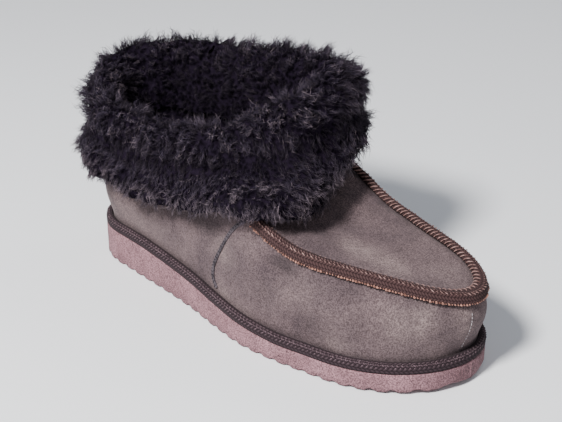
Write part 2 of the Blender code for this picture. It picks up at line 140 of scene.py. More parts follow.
BULGE_ROWS = (
    # turn, bulge
    (0.00, 0.60),
    (0.12, 0.50),
    (0.25, 0.25),
    (0.36, 0.75),
    (0.45, 0.95),
    (0.50, 1.00),
    (0.58, 0.90),
    (0.70, 0.45),
    (0.85, 0.45),
)
THROAT_ROWS = (
    # turn, along, across, up
    (0.000, 0.014, 0.015, 0.672),
    (0.088, 0.070, -0.260, 0.648),
    (0.225, 0.255, -0.337, 0.640),
    (0.390, 0.480, -0.318, 0.672),
    (0.500, 0.576, 0.048, 0.656),
    (0.589, 0.520, 0.345, 0.689),
    (0.742, 0.300, 0.352, 0.689),
    (0.903, 0.082, 0.293, 0.672),
)
FOLD_ROWS = (
    # turn, along, across, up
    (0.000, 0.010, 0.020, 0.885),
    (0.088, 0.074, -0.240, 0.832),
    (0.225, 0.247, -0.298, 0.796),
    (0.390, 0.459, -0.240, 0.886),
    (0.500, 0.555, 0.048, 1.000),
    (0.589, 0.525, 0.360, 1.057),
    (0.742, 0.306, 0.380, 1.016),
    (0.903, 0.088, 0.298, 0.945),
)
SHAFT_TURN_SHARE = 0.110
INSTEP_SHARE = 0.656
HEM_ROWS = (
    # turn, along, across, up
    (0.000, -0.006, 0.015, 0.492),
    (0.088, 0.050, -0.298, 0.541),
    (0.225, 0.247, -0.398, 0.516),
    (0.330, 0.399, -0.433, 0.570),
    (0.385, 0.505, -0.462, 0.635),
    (0.412, 0.569, -0.457, 0.690),
    (0.440, 0.622, -0.385, 0.686),
    (0.470, 0.647, -0.212, 0.672),
    (0.510, 0.618, 0.029, 0.705),
    (0.560, 0.560, 0.317, 0.755),
    (0.610, 0.508, 0.485, 0.745),
    (0.670, 0.431, 0.474, 0.615),
    (0.742, 0.300, 0.440, 0.525),
    (0.903, 0.062, 0.330, 0.500),
)
CUFF_ROWS = (
    # turn, out, crest
    (0.000, 1.05, 1.60),
    (0.088, 1.05, 1.20),
    (0.225, 1.00, 1.00),
    (0.340, 1.00, 1.00),
    (0.420, 1.20, 1.05),
    (0.500, 1.20, 1.15),
    (0.589, 1.65, 1.20),
    (0.680, 1.40, 1.25),
    (0.800, 1.10, 1.35),
    (0.903, 0.95, 1.50),
)
SIDE_SEAM_ROWS = (
    # up, turn
    (0.150, 0.2350),
    (0.230, 0.2308),
    (0.360, 0.2320),
    (0.520, 0.2400),
    (0.680, 0.2535),
    (0.790, 0.2665),
    (0.920, 0.2825),
)

# The braid of each tape: pitch of its strands, lanes across it, and how far a strand slants over its lane
WELT_WEAVE = (0.0026, 5, 0.6)
APRON_WEAVE = (0.0018, 8, 0.7)
BRAID_DEPTH = 0.00016


# The form, read from the tables

def read_rows(rows, at):
    """Every column of a table at the places `at`, on a smooth curve through its rows."""
    rows = np.asarray(rows, float)
    place = rows[:, 0]
    value = rows[:, 1:]
    slope = np.gradient(value, place, axis=0)
    at = np.clip(np.atleast_1d(at), place[0], place[-1])
    row = np.clip(np.searchsorted(place, at, side="right") - 1, 0, len(place) - 2)
    step = (place[row + 1] - place[row])[:, None]
    u = (at - place[row])[:, None] / step
    start = (1 + 2 * u) * (1 - u) ** 2 * value[row] + u * (1 - u) ** 2 * step * slope[row]
    end = u ** 2 * (3 - 2 * u) * value[row + 1] - u ** 2 * (1 - u) * step * slope[row + 1]
    return start + end


def read_ring(rows, turns):
    """Every column of a table that closes on itself, at these turns."""
    rows = np.asarray(rows, float)
    before = rows[-3:].copy()
    before[:, 0] -= 1.0
    after = rows[:3].copy()
    after[:, 0] += 1.0
    return read_rows(np.vstack((before, rows, after)), np.mod(turns, 1.0))


def lengths(line):
    """The distance along a line of points, from its first point to each."""
    return np.concatenate(([0.0], np.cumsum(np.linalg.norm(np.diff(line, axis=0), axis=1))))


def plan_side(rows, back, front, heel_round, toe_round, side):
    """One side of an outline in plan, from heel to toe, with points closer together at both ends."""
    swing = np.linspace(0.0, math.pi, HALF_STEPS)
    along = back + (front - back) * (1.0 - np.cos(swing)) / 2.0
    middle, half = read_rows(rows, along)[:, :2].T
    heel = np.clip((back + heel_round - along) / heel_round, 0.0, 1.0)
    toe = np.clip((along - front + toe_round) / toe_round, 0.0, 1.0)
    half = half * np.sqrt(1.0 - heel ** 2) * np.sqrt(1.0 - toe ** 2)
    return np.column_stack((along * SOLE_LENGTH - HEEL_SETBACK, (middle + side * half) * BALL_WIDTH))


def plan_ring(rows, back, front, heel_round, toe_round, turns):
    """A whole outline in plan, at these turns."""
    points = np.zeros((len(turns), 2))
    for side, share in ((-1, turns * 2.0), (1, (1.0 - turns) * 2.0)):
        edge = plan_side(rows, back, front, heel_round, toe_round, side)
        run = lengths(edge)
        chosen = (turns <= 0.5) if side < 0 else (turns > 0.5)
        at = share[chosen] * run[-1]
        points[chosen, 0] = np.interp(at, run, edge[:, 0])
        points[chosen, 1] = np.interp(at, run, edge[:, 1])
    return points


def outward(ring):
    """Unit vectors in plan that point out of a closed outline."""
    along = np.roll(ring, -1, axis=0) - np.roll(ring, 1, axis=0)
    normal = np.column_stack((along[:, 1], -along[:, 0]))
    return normal / np.linalg.norm(normal, axis=1)[:, None]


def sole_ring(inset, turns):
    """The sole's outline moved in by `inset`, at these turns."""
    fine = np.arange(0.0, 1.0, 1.0 / (4 * HALF_STEPS))
    ring = plan_ring(SOLE_ROWS, 0.0, 1.0, HEEL_ROUND_SHARE, TOE_ROUND_SHARE, fine)
    ring = ring - outward(ring) * inset
    wrapped = np.vstack((ring, ring[:1]))
    at = np.append(fine, 1.0)
    return np.column_stack([np.interp(turns, at, wrapped[:, axis]) for axis in (0, 1)])


def sole_span(inset, x):
    """Where the sole's outer and inner edges are at each x, both moved in by `inset`."""
    turns = np.linspace(0.0, 0.5, 2 * HALF_STEPS)
    outer = sole_ring(inset, turns)
    inner = sole_ring(inset, np.mod(1.0 - turns, 1.0))
    return np.interp(x, outer[:, 0], outer[:, 1]), np.interp(x, inner[:, 0], inner[:, 1])


def along_sole(x):
    """x as a share of the sole's length, from the heel."""
    return (x + HEEL_SETBACK) / SOLE_LENGTH


def toe_lift(x):
    """How far the toe spring lifts the sole at each x."""
    share = np.clip((along_sole(x) - SPRING_START_SHARE) / (1.0 - SPRING_START_SHARE), 0.0, None)
    return TOE_SPRING * share ** 2


def sole_top(x):
    """Height of the wedge's upper face."""
    share = np.clip((along_sole(x) - WEDGE_START_SHARE) / (WEDGE_END_SHARE - WEDGE_START_SHARE), 0.0, 1.0)
    return HEEL_THICKNESS + (FOREPART_THICKNESS - HEEL_THICKNESS) * share + toe_lift(x)


def seam_height(x):
    """Height of the seam between toe wall and apron."""
    return read_rows(APRON_ROWS, along_sole(x))[:, 2] * INSTEP_HEIGHT


def apron_line(x):
    """The seam's height ahead of its highest point, and that point's height behind it."""
    highest = max(APRON_ROWS, key=lambda row: row[3])[0]
    return seam_height(np.maximum(x, highest * SOLE_LENGTH - HEEL_SETBACK))


def ring_in_space(rows, turns):
    """A ring round the shaft or the cuff, raised in front to the instep's height."""
    along, across, up = read_ring(rows, turns).T
    front = ((1.0 - np.cos(2.0 * math.pi * turns)) / 2.0) ** 2
    height = up * COLLAR_HEIGHT + front * (INSTEP_HEIGHT - INSTEP_SHARE * COLLAR_HEIGHT)
    return np.column_stack((along * SOLE_LENGTH - HEEL_SETBACK, across * BALL_WIDTH, height))


def shaft_turns(turns):
    """Turns on the shaft that belong to turns on the sole."""
    return turns + SHAFT_TURN_SHARE * np.sin(2.0 * math.pi * turns)


def mix(a, b, share):
    """Points at a share of the way from one row of points to another."""
    return a + (b - a) * np.asarray(share)[..., None]


def unit(vectors):
    """Vectors scaled to length 1."""
    return vectors / np.maximum(np.linalg.norm(vectors, axis=-1), 1e-12)[..., None]


def upper_rings(turns):
    """Outer surface of the upper as rings from the sole to the fold, and the number of the seam's ring."""
    base = sole_ring(WELT_WIDTH + FIT_GAP, turns)
    base_z = sole_top(base[:, 0]) + FIT_GAP
    ends = (APRON_BACK_SHARE, APRON_TIP_SHARE, APRON_HEEL_ROUND_SHARE, APRON_TOE_ROUND_SHARE)
    seam = plan_ring(APRON_ROWS, *ends, turns)
    seam_z = seam_height(seam[:, 0])
    swell = read_ring(BULGE_ROWS, turns)[:, 0] * WALL_BULGE
    facing = outward(base)
    height = seam_z - base_z
    rings = []
    welt_top = WELT_HEIGHT / height
    for up in (0.0, welt_top, 0.34, 0.60, 1.0 - WALL_BAND / height, 1.0):
        up = np.broadcast_to(up, turns.shape)
        above = np.clip((up - welt_top) / (1.0 - welt_top), 0.0, 1.0)
        plan = mix(base, seam, above ** 1.2) + facing * (swell * np.sin(math.pi * above ** 1.3))[:, None]
        rings.append(np.column_stack((plan, base_z + height * up)))
    seam_ring = len(rings) - 1
    throat = ring_in_space(THROAT_ROWS, shaft_turns(turns))
    fold = ring_in_space(FOLD_ROWS, shaft_turns(turns))
    reach = np.linalg.norm(throat[:, :2] - seam, axis=1)
    on_apron = 1.0 + (0.5 - np.abs(turns - 0.5) - APRON_START) / APRON_BLEND_SHARE
    on_apron = np.clip(on_apron, 0.0, 1.0)
    open_share = np.clip((reach - CROWN_NARROW) / (CROWN_WIDE - CROWN_NARROW), 0.0, 1.0)
    seam_line = apron_line(seam[:, 0])
    throat_line = apron_line(throat[:, 0])
    for share in (np.minimum(APRON_BAND / reach, 0.30), 0.38, 0.60, 0.80, 0.93):
        share = np.broadcast_to(share, turns.shape)
        plan = mix(seam, throat[:, :2], share)
        sag = apron_line(plan[:, 0]) - seam_line - (throat_line - seam_line) * share
        crown = APRON_CROWN * on_apron * open_share * 4.0 * share * (1.0 - share)
        rise = (throat[:, 2] - seam_z) * share
        rings.append(np.column_stack((plan, seam_z + rise + sag + crown)))
    before = rings[-1]
    after = mix(throat, fold, 0.16)
    rings.append(before * 0.25 + throat * 0.5 + after * 0.25)
    for share in (0.36, 0.68, 1.0):
        rings.append(mix(throat, fold, share))
    return np.array(rings), seam_ring


def row_places(grid):
    """The distance across a grid's rows, from the first to each, as the mean of its columns."""
    step = np.linalg.norm(np.diff(grid, axis=0), axis=-1).mean(axis=1)
    return np.concatenate(([0.0], np.cumsum(step)))


def through(points, count):
    """A grid's rows made finer, on smooth curves through them."""
    place = row_places(points)
    rows = np.column_stack((place, points.reshape(len(points), -1)))
    at = np.linspace(0.0, place[-1], count)
    return read_rows(rows, at).reshape(count, *points.shape[1:])


def grid_normals(grid, closed=True):
    """Unit normals of a grid of points: rows upward, columns round the shoe."""
    up = np.gradient(grid, axis=0)
    if closed:
        round_it = np.roll(grid, -1, axis=1) - np.roll(grid, 1, axis=1)
    else:
        round_it = np.gradient(grid, axis=1)
    return unit(np.cross(round_it, up))


# Meshes

def add_fact(mesh, name, values, vector=False):
    """Stores a number or a vector for each point of a mesh."""
    kind, field = ("FLOAT_VECTOR", "vector") if vector else ("FLOAT", "value")
    flat = np.ascontiguousarray(values, np.float32).reshape(-1)
    mesh.attributes.new(name, kind, "POINT").data.foreach_set(field, flat)


def grid_mesh(name, grid, closed=True, uv=None, facts=None, ends=False, wrap_rows=False):
    """An object from a grid of points, with a UV map and point attributes by name."""
    rows, columns = grid.shape[:2]
    number = np.arange(rows * columns).reshape(rows, columns)
    last_row = rows if wrap_rows else rows - 1
    last_column = columns if closed else columns - 1
    r, c = np.meshgrid(np.arange(last_row), np.arange(last_column), indexing="ij")
    r1 = (r + 1) % rows
    c1 = (c + 1) % columns
    quads = np.stack((number[r, c], number[r, c1], number[r1, c1], number[r1, c]), axis=-1).reshape(-1, 4)
    faces = quads.tolist()
    if ends:
        faces.append(number[:, 0].tolist())
        faces.append(number[::-1, -1].tolist())
    mesh = bpy.data.meshes.new(name)
    mesh.from_pydata(grid.reshape(-1, 3).tolist(), [], faces)
    if uv is not None:
        u, v = uv
        past_seam = np.append(u, 2 * u[-1] - u[-2])
        u_of_corners = np.stack((u[c], past_seam[c + 1], past_seam[c + 1], u[c]), axis=-1)
        next_v = v[np.minimum(r + 1, len(v) - 1)]
        v_of_corners = np.stack((v[r], v[r], next_v, next_v), axis=-1)
        flat = np.zeros((len(mesh.loops), 2), np.float32)
        flat[:quads.size, 0] = u_of_corners.reshape(-1)
        flat[:quads.size, 1] = v_of_corners.reshape(-1)
        mesh.uv_layers.new(name="surface").data.foreach_set("uv", flat.reshape(-1))
    for fact, values in (facts or {}).items():
        add_fact(mesh, fact, values, vector=np.ndim(values) == 3)
    return place_mesh(name, mesh)


def place_mesh(name, mesh):
    """An object at the origin that shows the mesh, shaded smooth."""
    mesh.shade_smooth()
    piece = bpy.data.objects.new(name, mesh)
    bpy.context.scene.collection.objects.link(piece)
    return piece


def settle(piece):
    """Turns a piece and its modifiers into one plain mesh."""
    shown = piece.evaluated_get(bpy.context.evaluated_depsgraph_get())
    mesh = bpy.data.meshes.new_from_object(shown)
    piece.modifiers.clear()
    piece.data = mesh
    return piece


def wall(piece, thickness):
    """Gives a sheet its thickness, on the side away from its normals."""
    made = piece.modifiers.new("wall", "SOLIDIFY")
    made.thickness = thickness
    made.offset = -1.0
    made.use_rim = True
    return settle(piece)


def finish_piece(piece, material, slot, *nodes):
    """Gives a piece its material and body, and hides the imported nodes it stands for."""
    piece.data.materials.clear()
    piece.data.materials.append(material)
    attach(piece, "root")
    if nodes:
        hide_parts(*nodes)
    return piece


def bumps(points, scale, seed=0.0):
    """Perlin noise at each point, from -1 to 1."""
    shift = Vector((seed, seed * 0.7, -seed))
    flat = points.reshape(-1, 3) * scale
    values = np.array([noise.noise(Vector(point) + shift) for point in flat])
    return values.reshape(points.shape[:-1])


def swirls(points, scale, seeds):
    """A vector of Perlin noise at each point, with a seed for each axis."""
    return np.stack([bumps(points, scale, seed) for seed in seeds], axis=-1)


# Shader maths

class Sum:
    """A shader socket that can stand in a Python expression."""

    def __init__(self, finish, socket):
        self.finish = finish
        self.socket = socket

    def maths(self, operation, first, second=None):
        values = {0: first}
        if second is not None:
            values[1] = second
        return self.finish.add("ShaderNodeMath", {"operation": operation}, values)

    def __add__(self, other):
        return self.maths("ADD", self, other)

    __radd__ = __add__

    def __sub__(self, other):
        return self.maths("SUBTRACT", self, other)

    def __rsub__(self, other):
        return self.maths("SUBTRACT", other, self)

    def __mul__(self, other):
        return self.maths("MULTIPLY", self, other)

    __rmul__ = __mul__

    def __truediv__(self, other):
        return self.maths("DIVIDE", self, other)

    def __rtruediv__(self, other):
        return self.maths("DIVIDE", other, self)

    def __mod__(self, other):
        return self.maths("FLOORED_MODULO", self, other)

    def floor(self):
        return self.maths("FLOOR", self)

    def sine(self):
        return self.maths("SINE", self)

    def most(self, other):
        return self.maths("MAXIMUM", self, other)

    def between(self, low, high, start=0.0, end=1.0):
        """Eases from start to end as the value goes from low to high."""
        values = {"Value": self, "From Min": low, "From Max": high, "To Min": start, "To Max": end}
        return self.finish.add("ShaderNodeMapRange", {"interpolation_type": "SMOOTHSTEP"}, values)


class Finish:
    """A material in the making."""

    def __init__(self, name, **fixed):
        self.material = bpy.data.materials.new(name)
        self.material.use_nodes = True
        self.tree = self.material.node_tree
        self.shader = self.tree.nodes["Principled BSDF"]
        for socket, value in fixed.items():
            self.shader.inputs[socket.replace("_", " ")].default_value = value

    def add(self, kind, settings=None, values=None, output=0):
        node = self.tree.nodes.new(kind)
        for name, value in (settings or {}).items():
            setattr(node, name, value)
        for name, value in (values or {}).items():
            socket = node.inputs[name]
            if isinstance(value, Sum):
                self.tree.links.new(value.socket, socket)
            else:
                socket.default_value = value
        return Sum(self, node.outputs[output])

    def place(self):
        """Object coordinates, in metres."""
        return self.add("ShaderNodeTexCoord", output="Object")

    def surface(self):
        """The two numbers of the piece's own UV map."""
        at = self.add("ShaderNodeUVMap", {"uv_map": "surface"})
        return self.axis(at, "X"), self.axis(at, "Y")

    def fact(self, name):
        """A number that each point of the mesh carries."""
        return self.add("ShaderNodeAttribute", {"attribute_name": name}, None, "Fac")

    def axis(self, place, name):
        return self.add("ShaderNodeSeparateXYZ", None, {0: place}, name)

    def stretched(self, place, scale, turn=(0.0, 0.0, 0.0)):
        return self.add("ShaderNodeMapping", None, {"Vector": place, "Scale": scale, "Rotation": turn})

    def cloud(self, place, scale, detail=3.0, rough=0.5, warp=0.0):
        values = {"Vector": place, "Scale": scale, "Detail": detail, "Roughness": rough, "Distortion": warp}
        return self.add("ShaderNodeTexNoise", None, values, "Fac")

    def cells(self, place, scale):
        return self.add("ShaderNodeTexVoronoi", None, {"Vector": place, "Scale": scale}, "Distance")

    def blend(self, share, first, second, mode="MIX"):
        """A colour between two others. A colour is three numbers or a link."""
        def full(colour):
            return colour if isinstance(colour, Sum) else (*colour, 1.0)
        node = self.tree.nodes.new("ShaderNodeMix")
        node.data_type = "RGBA"
        node.blend_type = mode
        node.clamp_factor = True
        for name, value in (("Factor_Float", share), ("A_Color", full(first)), ("B_Color", full(second))):
            socket = next(s for s in node.inputs if s.identifier == name)
            if isinstance(value, Sum):
                self.tree.links.new(value.socket, socket)
            else:
                socket.default_value = value
        return Sum(self, next(s for s in node.outputs if s.identifier == "Result_Color"))

    def done(self, colour, rough, height=None, depth=0.001):
        """Links colour, roughness and relief, whose depth is in metres, and gives the material back."""
        for name, value in (("Base Color", colour), ("Roughness", rough)):
            if isinstance(value, Sum):
                self.tree.links.new(value.socket, self.shader.inputs[name])
            else:
                self.shader.inputs[name].default_value = value
        if height is not None:
            relief = self.add("ShaderNodeBump", None, {"Strength": 1.0, "Distance": depth, "Height": height})
            self.tree.links.new(relief.socket, self.shader.inputs["Normal"])
        return self.material


def suede_finish():
    """Taupe suede: brushed nap in light and dark patches, darker beside the seams and in dark smudges, with
    painted shade in dents and painted shadow below the wool's hem, and a paler rear quarter.
    """
    dark_taupe = (0.062, 0.0440, 0.0478)
    light_taupe = (0.120, 0.0840, 0.0850)
    rubbed = (0.228, 0.170, 0.160)
    grime_and_painted_shade = (0.032, 0.0245, 0.0262)
    finish = Finish("suede", Sheen_Weight=0.10, Sheen_Roughness=0.45, Sheen_Tint=(0.75, 0.66, 0.66, 1.0),
                    Specular_IOR_Level=0.10)
    place = finish.place()
    broad = finish.cloud(place, 24.0, 3.0, 0.55, 0.8)
    patch = finish.cloud(place, 75.0, 4.0, 0.6, 1.2)
    brushed = finish.cloud(finish.stretched(place, (260.0, 900.0, 420.0), (0.3, 0.2, 0.7)), 1.0, 3.0, 0.6)
    fibre = finish.cloud(place, 1300.0, 2.0, 0.7)
    clump = finish.cloud(place, 560.0, 2.0, 0.6)
    tone = broad * 0.62 + patch * 0.15 + brushed * 0.23
    colour = finish.blend(tone.between(0.34, 0.70), dark_taupe, light_taupe)
    colour = finish.blend(finish.fact("worn") * (patch.between(0.35, 0.65) * 0.5 + 0.5), colour, rubbed)
    # darker beside the tapes and in smudges, with painted shade in dents and painted shadow below the wool's
    # hem
    colour = finish.blend(finish.fact("soil_and_painted_shade") * (0.55 + fibre * 0.4), colour, grime_and_painted_shade)
    grain = (fibre * 0.85 + clump * 0.15).between(0.35, 0.65)
    speckle = finish.blend(grain, (0.56, 0.55, 0.56), (1.44, 1.44, 1.44))
    colour = finish.blend(1.0, colour, speckle, "MULTIPLY")
    height = fibre * 0.5 + clump * 0.4 + brushed * 0.3
    return finish.done(colour, 0.90 + fibre * 0.08, height, 0.00055)


def foam_finish():
    """Pinkish microcellular foam with fine speckle, some open cells with painted shade in them, dirt with
    painted shade along its lower edge, and painted shade at the toe.
    """
    pink = (0.244, 0.132, 0.146)
    dull_pink = (0.178, 0.095, 0.105)
    streaked = (0.140, 0.074, 0.080)
    grime_and_painted_shade = (0.060, 0.036, 0.040)
    hollow = (0.110, 0.062, 0.068)
    finish = Finish("foam", Specular_IOR_Level=0.20)
    place = finish.place()
    speck = finish.cloud(place, 1200.0, 2.0, 0.7)
    shade = finish.cloud(place, 48.0, 4.0, 0.6)
    streak = finish.cloud(finish.stretched(place, (420.0, 420.0, 60.0)), 1.0, 3.0, 0.6)
    cell = finish.cells(place, 1250.0)
    pit = finish.cells(place, 210.0).between(0.10, 0.16, 1.0, 0.0)
    colour = finish.blend(shade.between(0.35, 0.7), pink, dull_pink)
    colour = finish.blend(streak.between(0.45, 0.75) * 0.35, colour, streaked)
    # dirt with painted shade along the lower edge, and painted shade at the toe
    dirt_and_painted_shade = finish.fact("low") * finish.cloud(place, 240.0, 3.0, 0.7).between(0.3, 0.7, 0.35, 1.0)
    colour = finish.blend(dirt_and_painted_shade * 0.75, colour, grime_and_painted_shade)
    # painted shade in the open cells
    colour = finish.blend(pit * 0.55, colour, hollow)
    speckle = finish.blend(speck.between(0.36, 0.64), (0.54, 0.54, 0.55), (1.50, 1.49, 1.49))
    colour = finish.blend(1.0, colour, speckle, "MULTIPLY")
    height = speck * 0.5 - pit * 0.9 + cell * 0.35
    return finish.done(colour, 0.82 + speck * 0.12, height, 0.00045)


def tape_finish(name, dark, mid, light, weave, dressed):
    """A braided tape: lanes of slanting strands. u runs along the tape in metres, v across it from 0 to 1.

    `weave` is its pitch, lanes and slant, and `dressed` where across it the pale threads start and end.
    """
    pitch, lanes, slant = weave
    finish = Finish(name, Specular_IOR_Level=0.07, Sheen_Weight=0.02, Sheen_Roughness=0.5)
    u, v = finish.surface()
    place = finish.place()
    across = v * float(lanes)
    lane = across.floor()
    side = 1.0 - (lane % 2.0) * 2.0
    run = u / pitch + side * (across - lane) * slant
    strand = run.floor()
    crown = ((run - strand) * math.pi).sine()
    rim = ((across - lane) * math.pi).sine()
    number = finish.add("ShaderNodeCombineXYZ", None, {0: strand, 1: lane})
    chance = finish.add("ShaderNodeTexWhiteNoise", {"noise_dimensions": "2D"}, {"Vector": number}, "Value")
    fibre = finish.cloud(place, 1700.0, 2.0, 0.7)
    lift = crown * 0.6 + rim * 0.4
    colour = finish.blend((lift * 0.7 + fibre * 0.6).between(0.35, 1.05), dark, mid)
    start, end = dressed
    window = v.between(start - 0.05, start + 0.05) * v.between(end - 0.05, end + 0.05, 1.0, 0.0)
    pale = lift.between(0.80, 1.0) * (0.15 + chance * 0.85) * window
    colour = finish.blend(pale, colour, light)
    # darker towards both edges of the tape and on its underside
    colour = finish.blend(finish.fact("soil_and_painted_shade") * 0.7, colour, (0.012, 0.008, 0.009))
    height = lift + fibre * 0.35
    return finish.done(colour, 0.80 + fibre * 0.12, height, 0.00030)


def thread_finish(name, dark, light, gloss=0.55):
    """Sewing thread, with its twist."""
    finish = Finish(name, Specular_IOR_Level=0.15, Sheen_Weight=0.03)
    place = finish.place()
    ply = finish.cloud(place, 2400.0, 2.0, 0.6)
    wear = finish.cloud(place, 420.0, 2.0, 0.6)
    colour = finish.blend((ply * 0.5 + wear * 0.5).between(0.38, 0.62), dark, light)
    return finish.done(colour, gloss + ply * 0.2, ply, 0.0001)


def wool_finish(name, root, middle, tip):
    """Wool: darker towards the root, partly as painted shade within the pile, paler and browner at the tips,
    different in every strand; painted shade darkens it inside the mouth, in the crease, between tufts and on
    the lining, and painted light brightens the lower skirt and the insole's pile.
    """
    finish = Finish(name, Specular_IOR_Level=0.30, Specular_Tint=(0.80, 0.62, 0.72, 1.0))
    place = finish.place()
    along = finish.fact("along")
    strand_tone = finish.fact("tone")
    shade = finish.fact("shade")
    painted_shading = finish.fact("painted_shading")
    patch = finish.cloud(place, 42.0, 3.0, 0.6)
    colour = finish.blend(along.between(0.10, 0.70), root, middle)
    pale = strand_tone.between(0.55, 1.0) * 0.75 + shade.between(0.6, 1.0) * 0.30
    brown_tips_and_painted_light = along.between(0.35, 1.0) * pale * (0.35 + patch.between(0.42, 0.68) * 0.65)
    # painted light: the lit lower skirt and the insole's pile turn paler towards the tips
    brown_tips_and_painted_light = brown_tips_and_painted_light + along.between(0.25, 0.9) * painted_shading.between(-1.0, 0.0, 0.27, 0.0)
    colour = finish.blend(brown_tips_and_painted_light, colour, tip)
    # random dark strands, and painted shade inside the mouth, in the crease, between tufts and on the lining,
    # turn back to the root's colour
    dark_strands_and_painted_shade = strand_tone.between(0.0, 0.55, 0.85, 0.0).most(painted_shading.between(0.2, 1.0) * 0.9)
    colour = finish.blend(dark_strands_and_painted_shade, colour, root)
    return finish.done(colour, 0.48 + shade * 0.25)


def pile_finish(name, dark, light):
    """The matted wool under the locks."""
    finish = Finish(name, Specular_IOR_Level=0.02)
    place = finish.place()
    curl = finish.cells(place, 330.0)
    fuzz = finish.cloud(place, 620.0, 4.0, 0.7, 1.5)
    colour = finish.blend((curl + fuzz).between(0.55, 1.35), dark, light)
    return finish.done(colour, 0.95, fuzz * 0.6 - curl * 0.6, 0.0016)


SUEDE = suede_finish()
FOAM = foam_finish()
WELT_BRAID = tape_finish("welt_braid", (0.0095, 0.0062, 0.0078), (0.046, 0.0300, 0.0350),
                         (0.140, 0.094, 0.104), WELT_WEAVE, (0.30, 0.72))
APRON_BRAID = tape_finish("apron_braid", (0.0110, 0.0052, 0.0056), (0.063, 0.0345, 0.0335),
                          (0.210, 0.122, 0.112), APRON_WEAVE, (0.40, 0.52))
COPPER_THREAD = thread_finish("copper_thread", (0.075, 0.030, 0.022), (0.46, 0.230, 0.175))
PALE_THREAD = thread_finish("pale_thread", (0.100, 0.050, 0.044), (0.320, 0.195, 0.175))
MUTED_THREAD = thread_finish("muted_thread", (0.022, 0.0135, 0.0170), (0.180, 0.118, 0.135))
SEAM_THREAD = thread_finish("seam_thread", (0.13, 0.105, 0.11), (0.42, 0.38, 0.39))
GREY_CORD = thread_finish("grey_cord", (0.026, 0.021, 0.025), (0.098, 0.080, 0.090), 0.75)
DARK_THREAD = thread_finish("dark_thread", (0.008, 0.006, 0.009), (0.030, 0.024, 0.029), 0.7)
WOOL = wool_finish("dark_wool", (0.0026, 0.0021, 0.0041), (0.0350, 0.0278, 0.0450), (0.385, 0.300, 0.318))
SOCK = pile_finish("sock_wool", (0.0070, 0.0050, 0.0070), (0.0520, 0.0370, 0.0420))
PILE = pile_finish("matted_wool", (0.0022, 0.0015, 0.0028), (0.0120, 0.0080, 0.0150))


# Geometry Nodes

class Nodes:
    """A Geometry Nodes tree in the making, with named inputs."""

    def __init__(self, name, inputs):
        self.tree = bpy.data.node_groups.new(name, "GeometryNodeTree")
        self.tree.interface.new_socket("Geometry", in_out="INPUT", socket_type="NodeSocketGeometry")
        for title, kind, value in inputs:
            socket = self.tree.interface.new_socket(title, in_out="INPUT", socket_type=kind)
            if value is not None:
                socket.default_value = value
        self.tree.interface.new_socket("Geometry", in_out="OUTPUT", socket_type="NodeSocketGeometry")
        self.enter = self.tree.nodes.new("NodeGroupInput")
        self.leave = self.tree.nodes.new("NodeGroupOutput")

    def add(self, kind, settings=None, values=None, output=0):
        node = self.tree.nodes.new(kind)
        for name, value in (settings or {}).items():
            setattr(node, name, value)
        for name, value in (values or {}).items():
            if isinstance(name, str):
                socket = next(s for s in node.inputs if s.name == name and s.enabled)
            else:
                socket = node.inputs[name]
            if isinstance(value, bpy.types.NodeSocket):
                self.tree.links.new(value, socket)
            else:
                socket.default_value = value
        if isinstance(output, str):
            return next(s for s in node.outputs if s.name == output and s.enabled)
        return node.outputs[output]

    def given(self, title):
        return self.enter.outputs[title]

    def fact(self, name, kind):
        return self.add("GeometryNodeInputNamedAttribute", {"data_type": kind}, {"Name": name}, "Attribute")

    def chance(self, low, high, seed, kind="FLOAT"):
        values = {"Min": low, "Max": high, "Seed": seed}
        return self.add("FunctionNodeRandomValue", {"data_type": kind}, values, "Value")

    def maths(self, operation, first, second):
        return self.add("ShaderNodeMath", {"operation": operation}, {0: first, 1: second})

    def close(self, geometry):
        whole = self.add("GeometryNodeRealizeInstances", None, {"Geometry": geometry})
        dressed = self.add("GeometryNodeSetMaterial", None, {
            "Geometry": whole, "Material": self.given("Finish")})
        self.tree.links.new(dressed, self.leave.inputs["Geometry"])
        return self.tree

    @staticmethod
    def run(piece, tree, **given):
        """Puts the tree on a piece, sets its named inputs and keeps the result as a plain mesh."""
        made = piece.modifiers.new(tree.name, "NODES")
        made.node_group = tree
        for socket in tree.interface.items_tree:
            title = socket.name.replace(" ", "_").lower()
            if socket.in_out == "INPUT" and title in given:
                made[socket.identifier] = given[title]
        settle(piece)
        piece.data.shade_smooth()
        return piece


